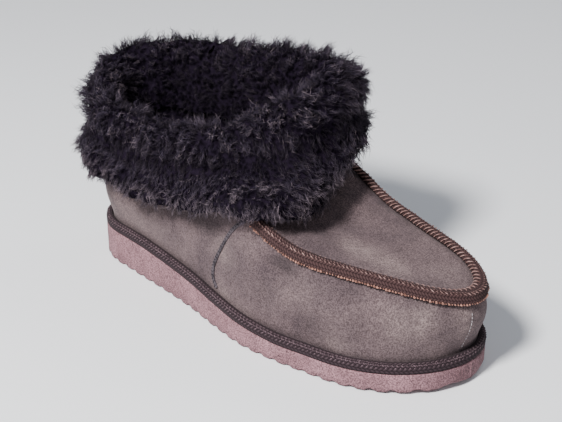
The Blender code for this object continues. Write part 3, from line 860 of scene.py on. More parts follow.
def lock_tree():
    """Scatters locks of wool where a surface has `cover`, along its `flow` and as long as its `reach`."""
    nodes = Nodes("wool_locks", (
        ("Locks per square metre", "NodeSocketFloat", 40000.0),
        ("Shortest", "NodeSocketFloat", 0.65),
        ("Longest", "NodeSocketFloat", 1.15),
        ("Seed", "NodeSocketInt", 1),
        ("Locks", "NodeSocketCollection", None),
        ("Kinds", "NodeSocketInt", 6),
        ("Finish", "NodeSocketMaterial", None),
    ))
    seed = nodes.given("Seed")
    cover = nodes.maths("MULTIPLY", nodes.given("Locks per square metre"), nodes.fact("cover", "FLOAT"))
    values = {"Mesh": nodes.given("Geometry"), "Density": cover, "Seed": seed}
    points = nodes.add("GeometryNodeDistributePointsOnFaces", {"distribute_method": "RANDOM"}, values,
                       "Points")
    aim = nodes.add("FunctionNodeAlignRotationToVector", {"axis": "Z"}, {
        "Vector": nodes.fact("flow", "FLOAT_VECTOR")})
    spin = nodes.chance(-1.2, 1.2, nodes.maths("ADD", seed, 3.0))
    spin = nodes.add("ShaderNodeCombineXYZ", None, {2: spin})
    spin = nodes.add("FunctionNodeEulerToRotation", None, {0: spin})
    turned = nodes.add("FunctionNodeRotateRotation", {"rotation_space": "LOCAL"}, {0: aim, 1: spin})
    size = nodes.chance(nodes.given("Shortest"), nodes.given("Longest"), nodes.maths("ADD", seed, 5.0))
    size = nodes.maths("MULTIPLY", size, nodes.fact("reach", "FLOAT"))
    kinds = nodes.add("GeometryNodeCollectionInfo", None, {
        "Collection": nodes.given("Locks"), "Separate Children": True, "Reset Children": True})
    pick = nodes.chance(0, nodes.maths("SUBTRACT", nodes.given("Kinds"), 1.0), seed, "INT")
    placed = nodes.add("GeometryNodeInstanceOnPoints", None, {
        "Points": points, "Instance": kinds, "Pick Instance": True, "Instance Index": pick,
        "Rotation": turned, "Scale": size})
    shade = nodes.chance(0.0, 1.0, nodes.maths("ADD", seed, 9.0))
    tinted = nodes.add("GeometryNodeStoreNamedAttribute", {"data_type": "FLOAT", "domain": "INSTANCE"}, {
        "Geometry": placed, "Name": "shade", "Value": shade})
    return nodes.close(tinted)


def stitch_tree():
    """Sets one stitch on each point: its length lies along `run` and its back faces `face`."""
    nodes = Nodes("stitches", (
        ("Stitch", "NodeSocketObject", None),
        ("Spread", "NodeSocketFloat", 0.12),
        ("Seed", "NodeSocketInt", 1),
        ("Finish", "NodeSocketMaterial", None),
    ))
    run = nodes.add("FunctionNodeAlignRotationToVector", {"axis": "X"}, {
        "Vector": nodes.fact("run", "FLOAT_VECTOR")})
    aim = nodes.add("FunctionNodeAlignRotationToVector", {"axis": "Z", "pivot_axis": "X"}, {
        "Rotation": run, "Vector": nodes.fact("face", "FLOAT_VECTOR")})
    low = nodes.maths("SUBTRACT", 1.0, nodes.given("Spread"))
    high = nodes.maths("ADD", 1.0, nodes.given("Spread"))
    size = nodes.maths("MULTIPLY", nodes.chance(low, high, nodes.given("Seed")), nodes.fact("size", "FLOAT"))
    shape = nodes.add("GeometryNodeObjectInfo", {"transform_space": "ORIGINAL"}, {
        "Object": nodes.given("Stitch")}, "Geometry")
    placed = nodes.add("GeometryNodeInstanceOnPoints", None, {
        "Points": nodes.given("Geometry"), "Instance": shape, "Rotation": aim, "Scale": size})
    return nodes.close(placed)


LOCK_TREE = lock_tree()
STITCH_TREE = stitch_tree()


def strand(path, radius, sides=3):
    """Points and faces of a strand that tapers to a tip, and each point's place along it."""
    count = len(path)
    forward = unit(np.gradient(path, axis=0))
    aside = unit(np.cross(forward, np.array((0.3, 1.0, 0.2))))
    third = np.cross(forward, aside)
    points = []
    for k in range(count - 1):
        thick = radius * (1.0 - 0.55 * (k / (count - 1)) ** 1.5)
        for s in range(sides):
            angle = 2.0 * math.pi * s / sides
            points.append(path[k] + (aside[k] * math.cos(angle) + third[k] * math.sin(angle)) * thick)
    points.append(path[-1])
    faces = []
    for k in range(count - 2):
        for s in range(sides):
            a = k * sides + s
            b = k * sides + (s + 1) % sides
            faces.append((a, b, b + sides, a + sides))
    last = (count - 2) * sides
    for s in range(sides):
        faces.append((last + s, last + (s + 1) % sides, last + sides))
    along = [k / (count - 1) for k in range(count - 1) for _ in range(sides)] + [1.0]
    return points, faces, along


def lock_shape(name, seed, long, short, spread, width, curl):
    """One lock of unit length: strands that start apart, draw together and curl over at the tip."""
    dice = random.Random(seed)
    points, faces, along, tone = [], [], [], []
    bend = dice.uniform(0.20, 0.42)
    for number in range(long + short):
        steps = 4 if number < long else 3
        angle = dice.uniform(0.0, 2.0 * math.pi)
        radius = spread * math.sqrt(dice.random())
        root = np.array((math.cos(angle) * radius, math.sin(angle) * radius, -0.08))
        tip_spread = dice.uniform(0.1, 1.2)
        length = dice.uniform(0.75, 1.10) if number < long else dice.uniform(0.45, 0.95)
        phase = dice.uniform(0.0, 2.0 * math.pi)
        crimp = curl * dice.uniform(0.6, 1.3)
        path = []
        for k in range(steps):
            t = k / (steps - 1)
            draw = 1.0 - (1.0 - tip_spread) * math.sin(t * math.pi / 2.0)
            sway = crimp * t * np.array((math.cos(phase + 7.5 * t), math.sin(phase + 7.5 * t), 0.0))
            over = np.array((bend * t ** 1.6, 0.0, t * length - 0.28 * bend * t ** 2.5))
            path.append(root * (draw, draw, 1.0 - t) + over + sway)
        base = len(points)
        more, these, share = strand(np.array(path), width * dice.uniform(0.7, 1.3))
        points += more
        along += share
        tone += [dice.random()] * len(share)
        faces += [tuple(base + k for k in face) for face in these]
    mesh = bpy.data.meshes.new(name)
    mesh.from_pydata([tuple(point) for point in points], [], faces)
    add_fact(mesh, "along", along)
    add_fact(mesh, "tone", tone)
    return bpy.data.objects.new(name, mesh)


def lock_set(name, kinds, **sizes):
    """A collection of locks that differ in their strands."""
    group = bpy.data.collections.new(name)
    bpy.context.scene.collection.children.link(group)
    for kind in range(kinds):
        group.objects.link(lock_shape(f"{name}_{kind}", 11 + kind, **sizes))
    return group


def drop_group(group):
    """Removes the locks once they have been copied on to the wool."""
    for piece in list(group.objects):
        bpy.data.objects.remove(piece, do_unlink=True)
    bpy.data.collections.remove(group)


def stitch_shape(name, length, radius, arch, steps=7, sides=6):
    """A short thread that dives in at both ends and stands up by `arch` between them."""
    points, faces = [], []
    for k in range(steps):
        t = k / (steps - 1)
        x = (t - 0.5) * length
        z = arch * math.sin(math.pi * t) - radius * 0.4
        thick = radius * (0.45 + 0.55 * math.sin(math.pi * t) ** 0.6)
        for s in range(sides):
            angle = 2.0 * math.pi * s / sides
            points.append((x, math.cos(angle) * thick, z + math.sin(angle) * thick))
    for k in range(steps - 1):
        for s in range(sides):
            a = k * sides + s
            b = k * sides + (s + 1) % sides
            faces.append((a, a + sides, b + sides, b))
    faces.append(tuple(range(sides)))
    faces.append(tuple(reversed(range((steps - 1) * sides, steps * sides))))
    mesh = bpy.data.meshes.new(name)
    mesh.from_pydata(points, [], faces)
    shape = bpy.data.objects.new(name, mesh)
    bpy.context.scene.collection.objects.link(shape)
    return shape


def stitches(name, places, run, face, shape, material, slot, seed=1, spread=0.12, size=1.0):
    """A row of stitches at these places."""
    mesh = bpy.data.meshes.new(name)
    mesh.from_pydata(places.tolist(), [], [])
    add_fact(mesh, "run", run, vector=True)
    add_fact(mesh, "face", face, vector=True)
    add_fact(mesh, "size", np.full(len(places), size))
    piece = bpy.data.objects.new(name, mesh)
    bpy.context.scene.collection.objects.link(piece)
    Nodes.run(piece, STITCH_TREE, stitch=shape, spread=spread, seed=seed, finish=material)
    return finish_piece(piece, material, slot)


def spaced(line, pitch, closed=False):
    """Places along a line at this pitch, as row numbers with fractions."""
    run = lengths(np.vstack((line, line[:1])) if closed else line)
    count = max(2, int(round(run[-1] / pitch)))
    at = (np.arange(count) + 0.5) * run[-1] / count
    return np.interp(at, run, np.arange(len(run)))


def pick(values, at):
    """Values of a closed or open row at row numbers with fractions."""
    first = np.floor(at).astype(int)
    share = (at - first)[:, None]
    return values[first % len(values)] * (1.0 - share) + values[(first + 1) % len(values)] * share


# Upper

UPPER_COLUMNS = 256
TOE_SEAM_ASIDE = 0.0066
GATHER_PITCH = 0.0068
LINING_THICKNESS = 0.0012

VAMP_CREASES = (
    # along, lean, half width, depth
    (0.158, 0.22, 0.006, 0.0010),
    (0.176, 0.10, 0.008, 0.0007),
    (0.147, 0.30, 0.004, 0.0006),
)
DENTS = (
    # x, y, z, half length, half height, depth
    (0.1550, -0.0429, 0.0596, 0.0085, 0.0045, 0.0018),
    (0.1779, -0.0416, 0.0286, 0.0150, 0.0110, 0.0008),
    (0.1437, -0.0462, 0.0392, 0.0080, 0.0090, 0.0006),
    (0.1567, 0.0082, 0.0684, 0.0090, 0.0140, 0.0006),
)
PALE_MARKS = (
    # x, y, z, half length, half height, strength
    (0.1785, -0.0060, 0.0643, 0.0120, 0.0055, 0.60),
    (0.2030, -0.0052, 0.0621, 0.0100, 0.0060, 0.45),
    (0.2255, 0.0129, 0.0580, 0.0080, 0.0080, 0.25),
    (0.1075, -0.0426, 0.0514, 0.0110, 0.0100, 0.50),
    (0.1070, -0.0430, 0.0197, 0.0100, 0.0060, 0.55),
    (0.1250, -0.0458, 0.0160, 0.0160, 0.0050, 0.45),
    (0.1947, -0.0387, 0.0218, 0.0110, 0.0050, 0.35),
    (0.2222, -0.0245, 0.0409, 0.0080, 0.0120, 0.30),
    (0.2341, -0.0142, 0.0445, 0.0070, 0.0120, 0.45),
    (0.2470, 0.0050, 0.0410, 0.0060, 0.0120, 0.35),
)
# Dark smudges on the suede; the first three, the sixth and the seventh lie on the dents and paint their
# shade, and the last two paint the shadow below the wool's hem.
DARK_STAINS_AND_PAINTED_SHADE = (
    # x, y, z, half length, half height, strength
    (0.1550, -0.0429, 0.0600, 0.0085, 0.0040, 1.30),
    (0.1613, -0.0420, 0.0568, 0.0070, 0.0035, 0.58),
    (0.1779, -0.0416, 0.0286, 0.0130, 0.0090, 0.52),
    (0.2048, -0.0344, 0.0380, 0.0055, 0.0110, 0.38),
    (0.1963, -0.0317, 0.0538, 0.0100, 0.0040, 0.46),
    (0.1437, -0.0462, 0.0392, 0.0060, 0.0060, 0.38),
    (0.1567, 0.0082, 0.0684, 0.0080, 0.0120, 0.49),
    (0.1585, 0.0297, 0.0693, 0.0060, 0.0080, 0.43),
    (0.1610, -0.0110, 0.0677, 0.0060, 0.0060, 0.43),
    (0.1949, 0.0097, 0.0635, 0.0070, 0.0050, 0.35),
    (0.0344, -0.0352, 0.0469, 0.0170, 0.0060, 0.65),
    (0.0842, -0.0383, 0.0580, 0.0200, 0.0060, 0.80),
)

turns = np.arange(UPPER_COLUMNS) / UPPER_COLUMNS
rings, seam_ring = upper_rings(turns)
wall_grid = through(rings[:seam_ring + 1], count=24)
apron_grid = through(rings[seam_ring:], count=40)
plain_upper = np.concatenate((wall_grid, apron_grid[1:]))
seam_row = len(wall_grid) - 1
upper_normals = grid_normals(plain_upper)


def ovals(grid, table, roundness):
    """Soft oval spots, added up. The radius across a spot lies between its other two, at `roundness`."""
    total = np.zeros(grid.shape[:2])
    for x, y, z, long, tall, strength in table:
        radii = (long, min(long, tall) + roundness * abs(long - tall), tall)
        total += strength * np.exp(-np.sum(((grid - (x, y, z)) / radii) ** 2, axis=2))
    return total


def upper_relief(grid):
    """Heights over the plain form: soft dents, gathers, creases over the vamp and the toe seam's groove."""
    rows = np.arange(len(grid))[:, None]
    seam = grid[seam_row]
    x = grid[..., 0]
    y = grid[..., 1]
    height = bumps(grid, 24.0, 3.0) * 0.0009 + bumps(grid, 62.0, 8.0) * 0.00035
    # gathers on both sides of the apron's seam, strongest round the toe
    from_seam = np.linalg.norm(grid - seam, axis=2)
    under = (rows < seam_row) * np.exp(-from_seam / 0.009)
    over = (rows > seam_row) * np.exp(-from_seam / 0.010)
    run = np.cumsum(np.linalg.norm(np.roll(seam, -1, axis=0) - seam, axis=1))
    toe = np.clip(1.0 - np.abs(turns - 0.5) / 0.19, 0.0, 1.0) ** 0.5
    gather = np.sin(run / GATHER_PITCH * 2.0 * math.pi + 1.6 * np.sin(run / 0.031)) * toe
    height += (under * 0.00042 + over * 0.00022) * gather
    height -= (under + over) * 0.0006
    # creases across the vamp, where the foot bends
    vamp = (rows > seam_row) * np.clip((x - 0.128) / 0.02, 0.0, 1.0)
    for along, lean, width, depth in VAMP_CREASES:
        away = (x - along - lean * (y - 0.01)) / width
        height -= depth * np.exp(-away ** 2) * vamp
    height -= ovals(grid, DENTS, roundness=0.5)
    # the groove of the toe's short seam, with a soft ridge on each side
    aside = y - TOE_SEAM_ASIDE
    at_toe = (rows < seam_row) * np.clip((x - 0.235) / 0.005, 0.0, 1.0)
    ridges = 0.00045 * np.exp(-((np.abs(aside) - 0.0016) / 0.0011) ** 2)
    groove = 0.0005 * np.exp(-(aside / 0.0007) ** 2)
    return height + at_toe * (ridges - groove)


def upper_worn(grid):
    """Where the nap is rubbed pale: behind, at the toe, in soft patches and in the pale marks."""
    rear = np.clip((0.085 - grid[..., 0]) / 0.09, 0.0, 1.0)
    fore = np.clip((grid[..., 0] - 0.190) / 0.04, 0.0, 1.0)
    patches = np.clip(bumps(grid, 30.0, 21.0) * 1.6, 0.0, 1.0)
    pale = ovals(grid, PALE_MARKS, roundness=0.3)
    return np.clip(0.36 * rear + 0.12 * fore + 0.15 * patches + pale, 0.0, 1.0)


def upper_soil_and_painted_shade(grid):
    """Where the suede is dark: beside the tapes, in dark smudges, as painted shade in dents, and as painted
    shadow below the wool's hem.
    """
    from_welt = np.maximum(np.linalg.norm(grid - grid[0], axis=2) - WELT_HEIGHT, 0.0)
    from_tape = np.maximum(np.linalg.norm(grid - grid[seam_row], axis=2) - 0.0038, 0.0)
    from_hem = np.linalg.norm(grid - ring_in_space(HEM_ROWS, turns), axis=2)
    on_wall = (np.arange(len(grid)) < seam_row)[:, None]
    soil_and_painted_shade = 0.55 * np.exp(-from_welt / 0.0022) + 0.50 * np.exp(-from_tape / 0.0016)
    soil_and_painted_shade += ovals(grid, DARK_STAINS_AND_PAINTED_SHADE, roundness=0.3)
    # painted shadow of the wool's hem, strongest on the walls
    soil_and_painted_shade += (0.15 + 0.75 * on_wall) * np.exp(-(from_hem / 0.020) ** 2)
    return np.clip(soil_and_painted_shade, 0.0, 1.0)


# the lowest rows stay plain, where the welt's tape covers them
relief_share = np.ones(len(plain_upper))
relief_share[:3] = (0.0, 0.3, 0.7)
upper_height = upper_relief(plain_upper) * relief_share[:, None]
upper_grid = plain_upper + upper_normals * upper_height[..., None]
row_share = np.arange(len(upper_grid)) / (len(upper_grid) - 1.0)
upper = grid_mesh("upper_suede", upper_grid, uv=(turns, row_share),
                  facts={"worn": upper_worn(upper_grid), "soil_and_painted_shade": upper_soil_and_painted_shade(upper_grid)})
wall(upper, UPPER_WALL)
finish_piece(upper, SUEDE, "suede", "upper")

# Wool lining inside the upper, from the insole to the fold
lining_rows = np.r_[2:seam_row:3, seam_row + 3:len(upper_grid):3]
lining_grid = (upper_grid - upper_normals * (UPPER_WALL + LINING_THICKNESS))[lining_rows][:, ::2]
lining = grid_mesh("wool_lining", lining_grid, uv=(turns[::2], row_share[lining_rows]))
wall(lining, LINING_THICKNESS)
finish_piece(lining, PILE, "sheepskin_sock")


# Insole

SOCK_INSET = WELT_WIDTH + UPPER_WALL + 0.0009
SOCK_CROWN = 0.0012


def insole_grid(rows, columns):
    """The sock's upper face, a little crowned, between the upper's walls."""
    clear = 0.0002
    back = SOCK_INSET - HEEL_SETBACK + clear
    front = SOLE_LENGTH - HEEL_SETBACK - SOCK_INSET - clear
    swing = np.linspace(0.0, math.pi, columns)
    x = back + (front - back) * (1.0 - np.cos(swing)) / 2.0
    outer, inner = sole_span(SOCK_INSET, x)
    share = np.linspace(0.0, 1.0, rows)[:, None]
    y = outer + (inner - outer) * share
    edge = np.minimum(share, 1.0 - share) * 2.0
    crown = SOCK_CROWN * np.sqrt(np.clip(1.0 - (1.0 - edge) ** 2, 0.0, 1.0))
    z = sole_top(x) + FIT_GAP + INSOLE_THICKNESS - 0.0014 + crown
    return np.stack((np.broadcast_to(x, y.shape), y, np.broadcast_to(z, y.shape)), axis=-1)


sock_grid = insole_grid(rows=28, columns=96)[::-1]
sock_grid = sock_grid + np.array((0.0, 0.0, 0.0006)) * bumps(sock_grid, 110.0, 2.0)[..., None]
sock = grid_mesh("insole_sock", sock_grid, closed=False)
wall(sock, INSOLE_THICKNESS - 0.0018)
finish_piece(sock, SOCK, "sheepskin_sock", "insole")


# Outsole

EDGE_INSET = 0.0009
SOLE_EDGE = (
    # inset, share of the height, step from the lower edge, step from the upper edge
    (EDGE_INSET, 0.00, 0.0000, 0.0000),
    (0.0003, 0.00, 0.0003, 0.0000),
    (0.0000, 0.00, 0.0010, 0.0000),
    (0.0000, 0.35, 0.0000, 0.0000),
    (0.0000, 0.70, 0.0000, 0.0000),
    (0.0000, 1.00, 0.0000, 0.0010),
    (0.0003, 1.00, 0.0000, 0.0003),
    (EDGE_INSET, 1.00, 0.0000, 0.0000),
)


def outsole_grid():
    """Lines along the foot, one after another round the sole's section, with rounded edges and ribs below."""
    back = -HEEL_SETBACK
    front = SOLE_LENGTH - HEEL_SETBACK
    ends = np.array((0.00005, 0.0002, 0.0005, 0.0009, 0.0014, 0.0021, 0.003, 0.004, 0.0052))
    between = np.arange(back + 0.0062, front - 0.0060, 0.0010)
    x = np.concatenate((back + ends, between, (front - ends)[::-1]))
    past = np.mod(x - RIB_LAND / 2.0, RIB_PITCH) / (RIB_PITCH - RIB_LAND)
    low = toe_lift(x) + RIB_DEPTH * np.sin(math.pi * np.clip(past, 0.0, 1.0)) ** 0.7
    high = sole_top(x)

    def line(inset, share, z):
        """A line along the foot, at a share of the way from the outer edge to the inner one."""
        outer, inner = sole_span(inset, x)
        return np.column_stack((x, outer + (inner - outer) * share, z))

    side = [(inset, low + (high - low) * up + rise - drop) for inset, up, rise, drop in SOLE_EDGE]
    section = [line(inset, 0.0, z) for inset, z in side]
    section += [line(EDGE_INSET, share, high) for share in (0.2, 0.5, 0.8)]
    section += [line(inset, 1.0, z) for inset, z in reversed(side)]
    section += [line(EDGE_INSET, share, low) for share in np.linspace(1.0, 0.0, 13)[1:-1]]
    return np.array(section)


outsole_points = outsole_grid()
wave = bumps(outsole_points, 55.0, 5.0) * 0.00022
middle_line = outsole_points.mean(axis=0)
sideways = unit((outsole_points - middle_line) * (0.0, 1.0, 0.0) + 1e-9)
outsole_points = outsole_points + sideways * (wave * (outsole_points[..., 2] > 0.002))[..., None]
# darker along the lower edge, from dirt and painted shade under the ribs, and painted shade at the toe
lower_dirt_and_painted_shade = np.clip(1.0 - (outsole_points[..., 2] - toe_lift(outsole_points[..., 0])) / 0.0024, 0.0, 1.0)
toe_painted_shade = np.clip((outsole_points[..., 0] - 0.226) / 0.028, 0.0, 1.0) * 0.8
outsole = grid_mesh("outsole_foam", outsole_points, closed=False, wrap_rows=True, ends=True,
                    facts={"low": np.maximum(lower_dirt_and_painted_shade, toe_painted_shade)})
finish_piece(outsole, FOAM, "foam_sole", "outsole")


# Braided tapes and their stitches

def braid_height(u, v, weave):
    """The braid's own relief, from 0 to 1, on a tape with these lengths along and shares across."""
    pitch, lanes, slant = weave
    across = v[:, None] * lanes
    lane = np.floor(np.clip(across, 0.0, lanes - 1e-6))
    side = 1.0 - 2.0 * np.mod(lane, 2.0)
    run = u / pitch + side * (across - lane) * slant
    return np.sin(math.pi * np.mod(run, 1.0)) * 0.75 + np.sin(math.pi * (across - lane)) * 0.25


def braided(grid, normals, u, v, weave, unevenness):
    """A tape's grid with the relief of its braid and some uneven waves, but plain at both edges."""
    height = (braid_height(u, v, weave) - 0.5) * BRAID_DEPTH + unevenness
    height[[0, -1]] = 0.0
    return grid + normals * height[..., None]


# Welt binding
WELT_COLUMNS = 1500
WELT_STITCH_ROWS = (6, 8, 10)
WELT_PROFILE = (
    # inset in shares of the tape's width, height in shares of its height, from the sole up to the upper
    (0.00, 0.02),
    (-0.02, 0.30),
    (0.00, 0.62),
    (0.24, 0.92),
    (0.62, 1.00),
    (0.98, 0.93),
)

welt_turns = np.arange(WELT_COLUMNS) / WELT_COLUMNS


def welt_line(inset, up):
    """A line round the sole, `inset` in shares of the tape's width and `up` in metres."""
    ring = sole_ring(inset * WELT_WIDTH, welt_turns)
    return np.column_stack((ring, sole_top(ring[:, 0]) + FIT_GAP + up))


welt_profile = through(np.array(WELT_PROFILE)[:, None, :], count=17)[:, 0]
welt_grid = np.array([welt_line(inset, up * WELT_HEIGHT) for inset, up in welt_profile])
welt_u = lengths(welt_grid[WELT_STITCH_ROWS[1]])
welt_v = np.linspace(0.0, 1.0, len(welt_profile))
welt_normals = grid_normals(welt_grid)
welt_face = braided(welt_grid, welt_normals, welt_u, welt_v, WELT_WEAVE,
                    bumps(welt_grid, 90.0, 4.0) * 0.00018)
welt_shell = np.concatenate((welt_face, [welt_line(1.0, 0.0), welt_line(0.5, 0.0)]))
welt_darker_edges = np.append(np.interp(welt_v, (0.0, 0.12, 0.85, 1.0), (0.8, 0.25, 0.1, 0.9)), (1.0, 1.0))
welt = grid_mesh("welt_braid_tape", welt_shell, uv=(welt_u, np.append(welt_v, (1.0, 1.0))), wrap_rows=True,
                 facts={"soil_and_painted_shade": np.broadcast_to(welt_darker_edges[:, None], welt_shell.shape[:2])})
finish_piece(welt, WELT_BRAID, "welt_tape", "welt_binding")

dot = stitch_shape("dot", length=0.0012, radius=0.00022, arch=0.00022, steps=5, sides=4)
for lane, row in enumerate(WELT_STITCH_ROWS):
    line = welt_grid[row]
    at = spaced(line, WELT_WEAVE[0], closed=True) + lane % 2 * 0.7
    face = pick(welt_normals[row], at)
    slant = pick(welt_grid[row + 1] - line, at) * (1.0 - lane % 2 * 2.0) * 0.55
    stitches(f"welt_stitches_{lane}", pick(line, at) + face * 0.00012,
             pick(np.roll(line, -1, axis=0) - line, at) + slant, face, dot, MUTED_THREAD, "welt_tape",
             seed=4 + lane, spread=0.35)

# Apron binding
BINDING_KEYS = (
    # down, inward, out, up
    (0.00, 1.02, 0.00, 0.12),
    (0.00, 1.05, 0.00, 0.50),
    (0.00, 0.80, 0.00, 0.92),
    (0.00, 0.30, 0.05, 1.10),
    (0.00, 0.00, 0.48, 1.02),
    (0.05, 0.00, 0.92, 0.60),
    (0.30, 0.00, 1.12, 0.10),
    (0.70, 0.00, 1.08, 0.00),
    (0.98, 0.00, 0.82, 0.00),
    (1.05, 0.00, 0.30, 0.00),
)
UNDER_GAP = 0.0004

edge_turns = np.linspace(APRON_START, 1.0 - APRON_START, 760)
# two more turns close the ring round the heel, and are dropped again
edge_rings = upper_rings(np.append(edge_turns, (0.9, 0.1)))[0][:, :-2]
edge_seam = edge_rings[seam_ring]
edge_down = unit(edge_rings[seam_ring - 1] - edge_seam)
edge_in = unit(edge_rings[seam_ring + 1] - edge_seam)
edge_along = unit(np.gradient(edge_seam, axis=0))
edge_out = unit(np.cross(edge_down, edge_along))
edge_up = unit(np.cross(edge_along, edge_in))
apron_width = np.linalg.norm(edge_rings[seam_ring + 1] - edge_seam, axis=1)
lap = np.minimum(BINDING_REACH, 0.85 * apron_width)[:, None]


def binding_line(down, inward, out, up):
    """A line along the tape, in shares of its drop, reach and thickness."""
    place = edge_seam + edge_down * BINDING_DROP * down + edge_in * lap * inward
    return place + (edge_out * out + edge_up * up) * BINDING_THICKNESS


binding_grid = through(np.array([binding_line(*key) for key in BINDING_KEYS]), count=24)
binding_u = lengths(binding_grid[12])
binding_v = np.linspace(0.0, 1.0, len(binding_grid))
binding_normals = -grid_normals(binding_grid, closed=False)
binding_face = braided(binding_grid, binding_normals, binding_u, binding_v, APRON_WEAVE,
                       bumps(binding_grid, 120.0, 6.0) * 0.0002)
under = (edge_seam + edge_down * BINDING_DROP + edge_out * UNDER_GAP,
         edge_seam + (edge_out + edge_up) * UNDER_GAP,
         edge_seam + edge_in * lap + edge_up * UNDER_GAP)
binding_shell = np.concatenate((binding_face, under))[::-1]
binding_darker_edges = np.interp(binding_v, (0.0, 0.1, 0.9, 1.0), (0.9, 0.15, 0.1, 0.7))
binding_darker_edges = np.append(binding_darker_edges, (1.0, 1.0, 1.0))[::-1]
tape = grid_mesh("apron_braid_tape", binding_shell, closed=False, wrap_rows=True, ends=True,
                 uv=(binding_u, np.append(binding_v, (1.0, 1.0, 0.0))[::-1]),
                 facts={"soil_and_painted_shade": np.broadcast_to(binding_darker_edges[:, None], binding_shell.shape[:2])})
finish_piece(tape, APRON_BRAID, "apron_tape", "apron_binding")

# Whip stitches in pairs over the tape, on the toe and the far side of the apron
whip = stitch_shape("whip", length=0.0058, radius=0.00029, arch=0.00125)
at = spaced(binding_grid[4], 0.0029)
at = np.sort(np.concatenate((at, at + 1.0)))
at = at[at < len(edge_turns) - 1]
at = at[pick(edge_in, at)[:, 1] < 0.45]
facing_in = pick(edge_in, at)[:, 1:2]
far_side = np.clip(-facing_in * 1.3, 0.0, 1.0)
near = np.clip(0.5 + facing_in, 0.0, 1.0)
home = pick(binding_grid[4], at) * (1.0 - near) + pick(binding_grid[3], at) * near
over_tape = pick(binding_grid[1] - binding_grid[9], at) + pick(edge_along, at) * (0.0004 - 0.0030 * far_side)
face = pick(binding_normals[4], at)
stitches("apron_whip_stitches", home - face * 0.0003, over_tape, face, whip, PALE_THREAD, "apron_tape",
         seed=7, spread=0.06, size=1.0 - 0.55 * near[:, 0])

# Two more rows of stitches, lower on the tape
dash = stitch_shape("dash", length=0.0021, radius=0.00027, arch=0.0004, steps=5, sides=4)
lower = stitch_shape("lower", length=0.0014, radius=0.00048, arch=0.00055)
for title, row, pitch, leans, shape, thread, seed, spread in (
    ("dash", 12, 0.0026, (0.65,), dash, PALE_THREAD, 8, 0.40),
    ("lower", 20, 0.0017, (0.5, 0.9), lower, COPPER_THREAD, 9, 0.45),
):
    at = spaced(binding_grid[row], pitch)
    face = pick(binding_normals[row], at)
    lean = np.resize(leans, len(at))[:, None]
    stitches(f"apron_{title}_stitches", pick(binding_grid[row], at) + face * 0.0001,
             pick(edge_along, at) + pick(edge_down, at) * lean, face, shape, thread, "apron_tape",
             seed=seed, spread=spread)


# Side seams

CORD_SIDES = 12
CORD_HALF_WIDTH = 0.00118
CORD_HALF_HEIGHT = 0.00085
CORD_TWIST_PITCH = 0.0016


def side_cord(name, side, node):
    """The raised cord of one side's seam, with the thread that holds it. The outer side is -1."""
    ups = np.linspace(SIDE_SEAM_ROWS[0][0], SIDE_SEAM_ROWS[-1][0], 150)
    cord_turns = read_rows(SIDE_SEAM_ROWS, ups)[:, 0]
    if side > 0:
        cord_turns = 1.0 - cord_turns
    columns = cord_turns * UPPER_COLUMNS
    middle, facing = [], []
    for up, column in zip(ups, columns):
        first = int(column)
        share = column - first
        edge = upper_grid[:seam_row + 1, first] * (1.0 - share) + upper_grid[:seam_row + 1, first + 1] * share
        height = edge[0, 2] + (edge[-1, 2] - edge[0, 2]) * up
        middle.append([np.interp(height, edge[:, 2], edge[:, axis]) for axis in range(3)])
        row = int(np.clip(np.searchsorted(edge[:, 2], height), 0, seam_row))
        facing.append(upper_normals[row, first])
    middle = np.array(middle)
    facing = unit(np.array(facing))
    forward = unit(np.gradient(middle, axis=0))
    aside = unit(np.cross(forward, facing))
    run = lengths(middle)
    grid = []
    for angle in np.arange(CORD_SIDES) * 2.0 * math.pi / CORD_SIDES:
        twist = 1.0 + 0.10 * np.sin(run / CORD_TWIST_PITCH * 2.0 * math.pi + 2.0 * angle)
        off = aside * (math.cos(angle) * CORD_HALF_WIDTH) + facing * (math.sin(angle) * CORD_HALF_HEIGHT)
        grid.append(middle + facing * 0.0004 + off * twist[:, None])
    grid = np.array(grid)[::-1 if side > 0 else 1]
    cord = grid_mesh(name, grid, closed=False, wrap_rows=True, ends=True)
    finish_piece(cord, GREY_CORD, "seam_cord", node)
    at = spaced(middle, 0.0024)
    face = pick(facing, at)
    stitches(name + "_stitches", pick(middle + facing * CORD_HALF_WIDTH, at),
             pick(aside, at) + pick(forward, at) * 0.5, face, seam_dot, DARK_THREAD, "seam_cord", seed=3)


seam_dot = stitch_shape("seam_dot", length=0.0017, radius=0.00028, arch=0.0003)
side_cord("side_cord_outer", -1, "side_seam_outer")
side_cord("side_cord_inner", 1, "side_seam_inner")

# The toe's short upright seam, from the welt's tape up to the apron's
in_front = upper_grid[seam_row // 2, :, 0] > 0.2
toe_column = int(np.argmin(np.abs(upper_grid[seam_row // 2, :, 1] - TOE_SEAM_ASIDE) + 1.0 - in_front))
line = upper_grid[4:seam_row - 2, toe_column]
at = spaced(line, 0.0021)[:-1]
stitches("toe_seam_stitches", pick(line, at), -pick(np.gradient(line, axis=0), at),
         pick(upper_normals[4:seam_row - 2, toe_column], at), seam_dot, SEAM_THREAD, "suede",
         seed=6, spread=0.3, size=0.95)


# Wool cuff

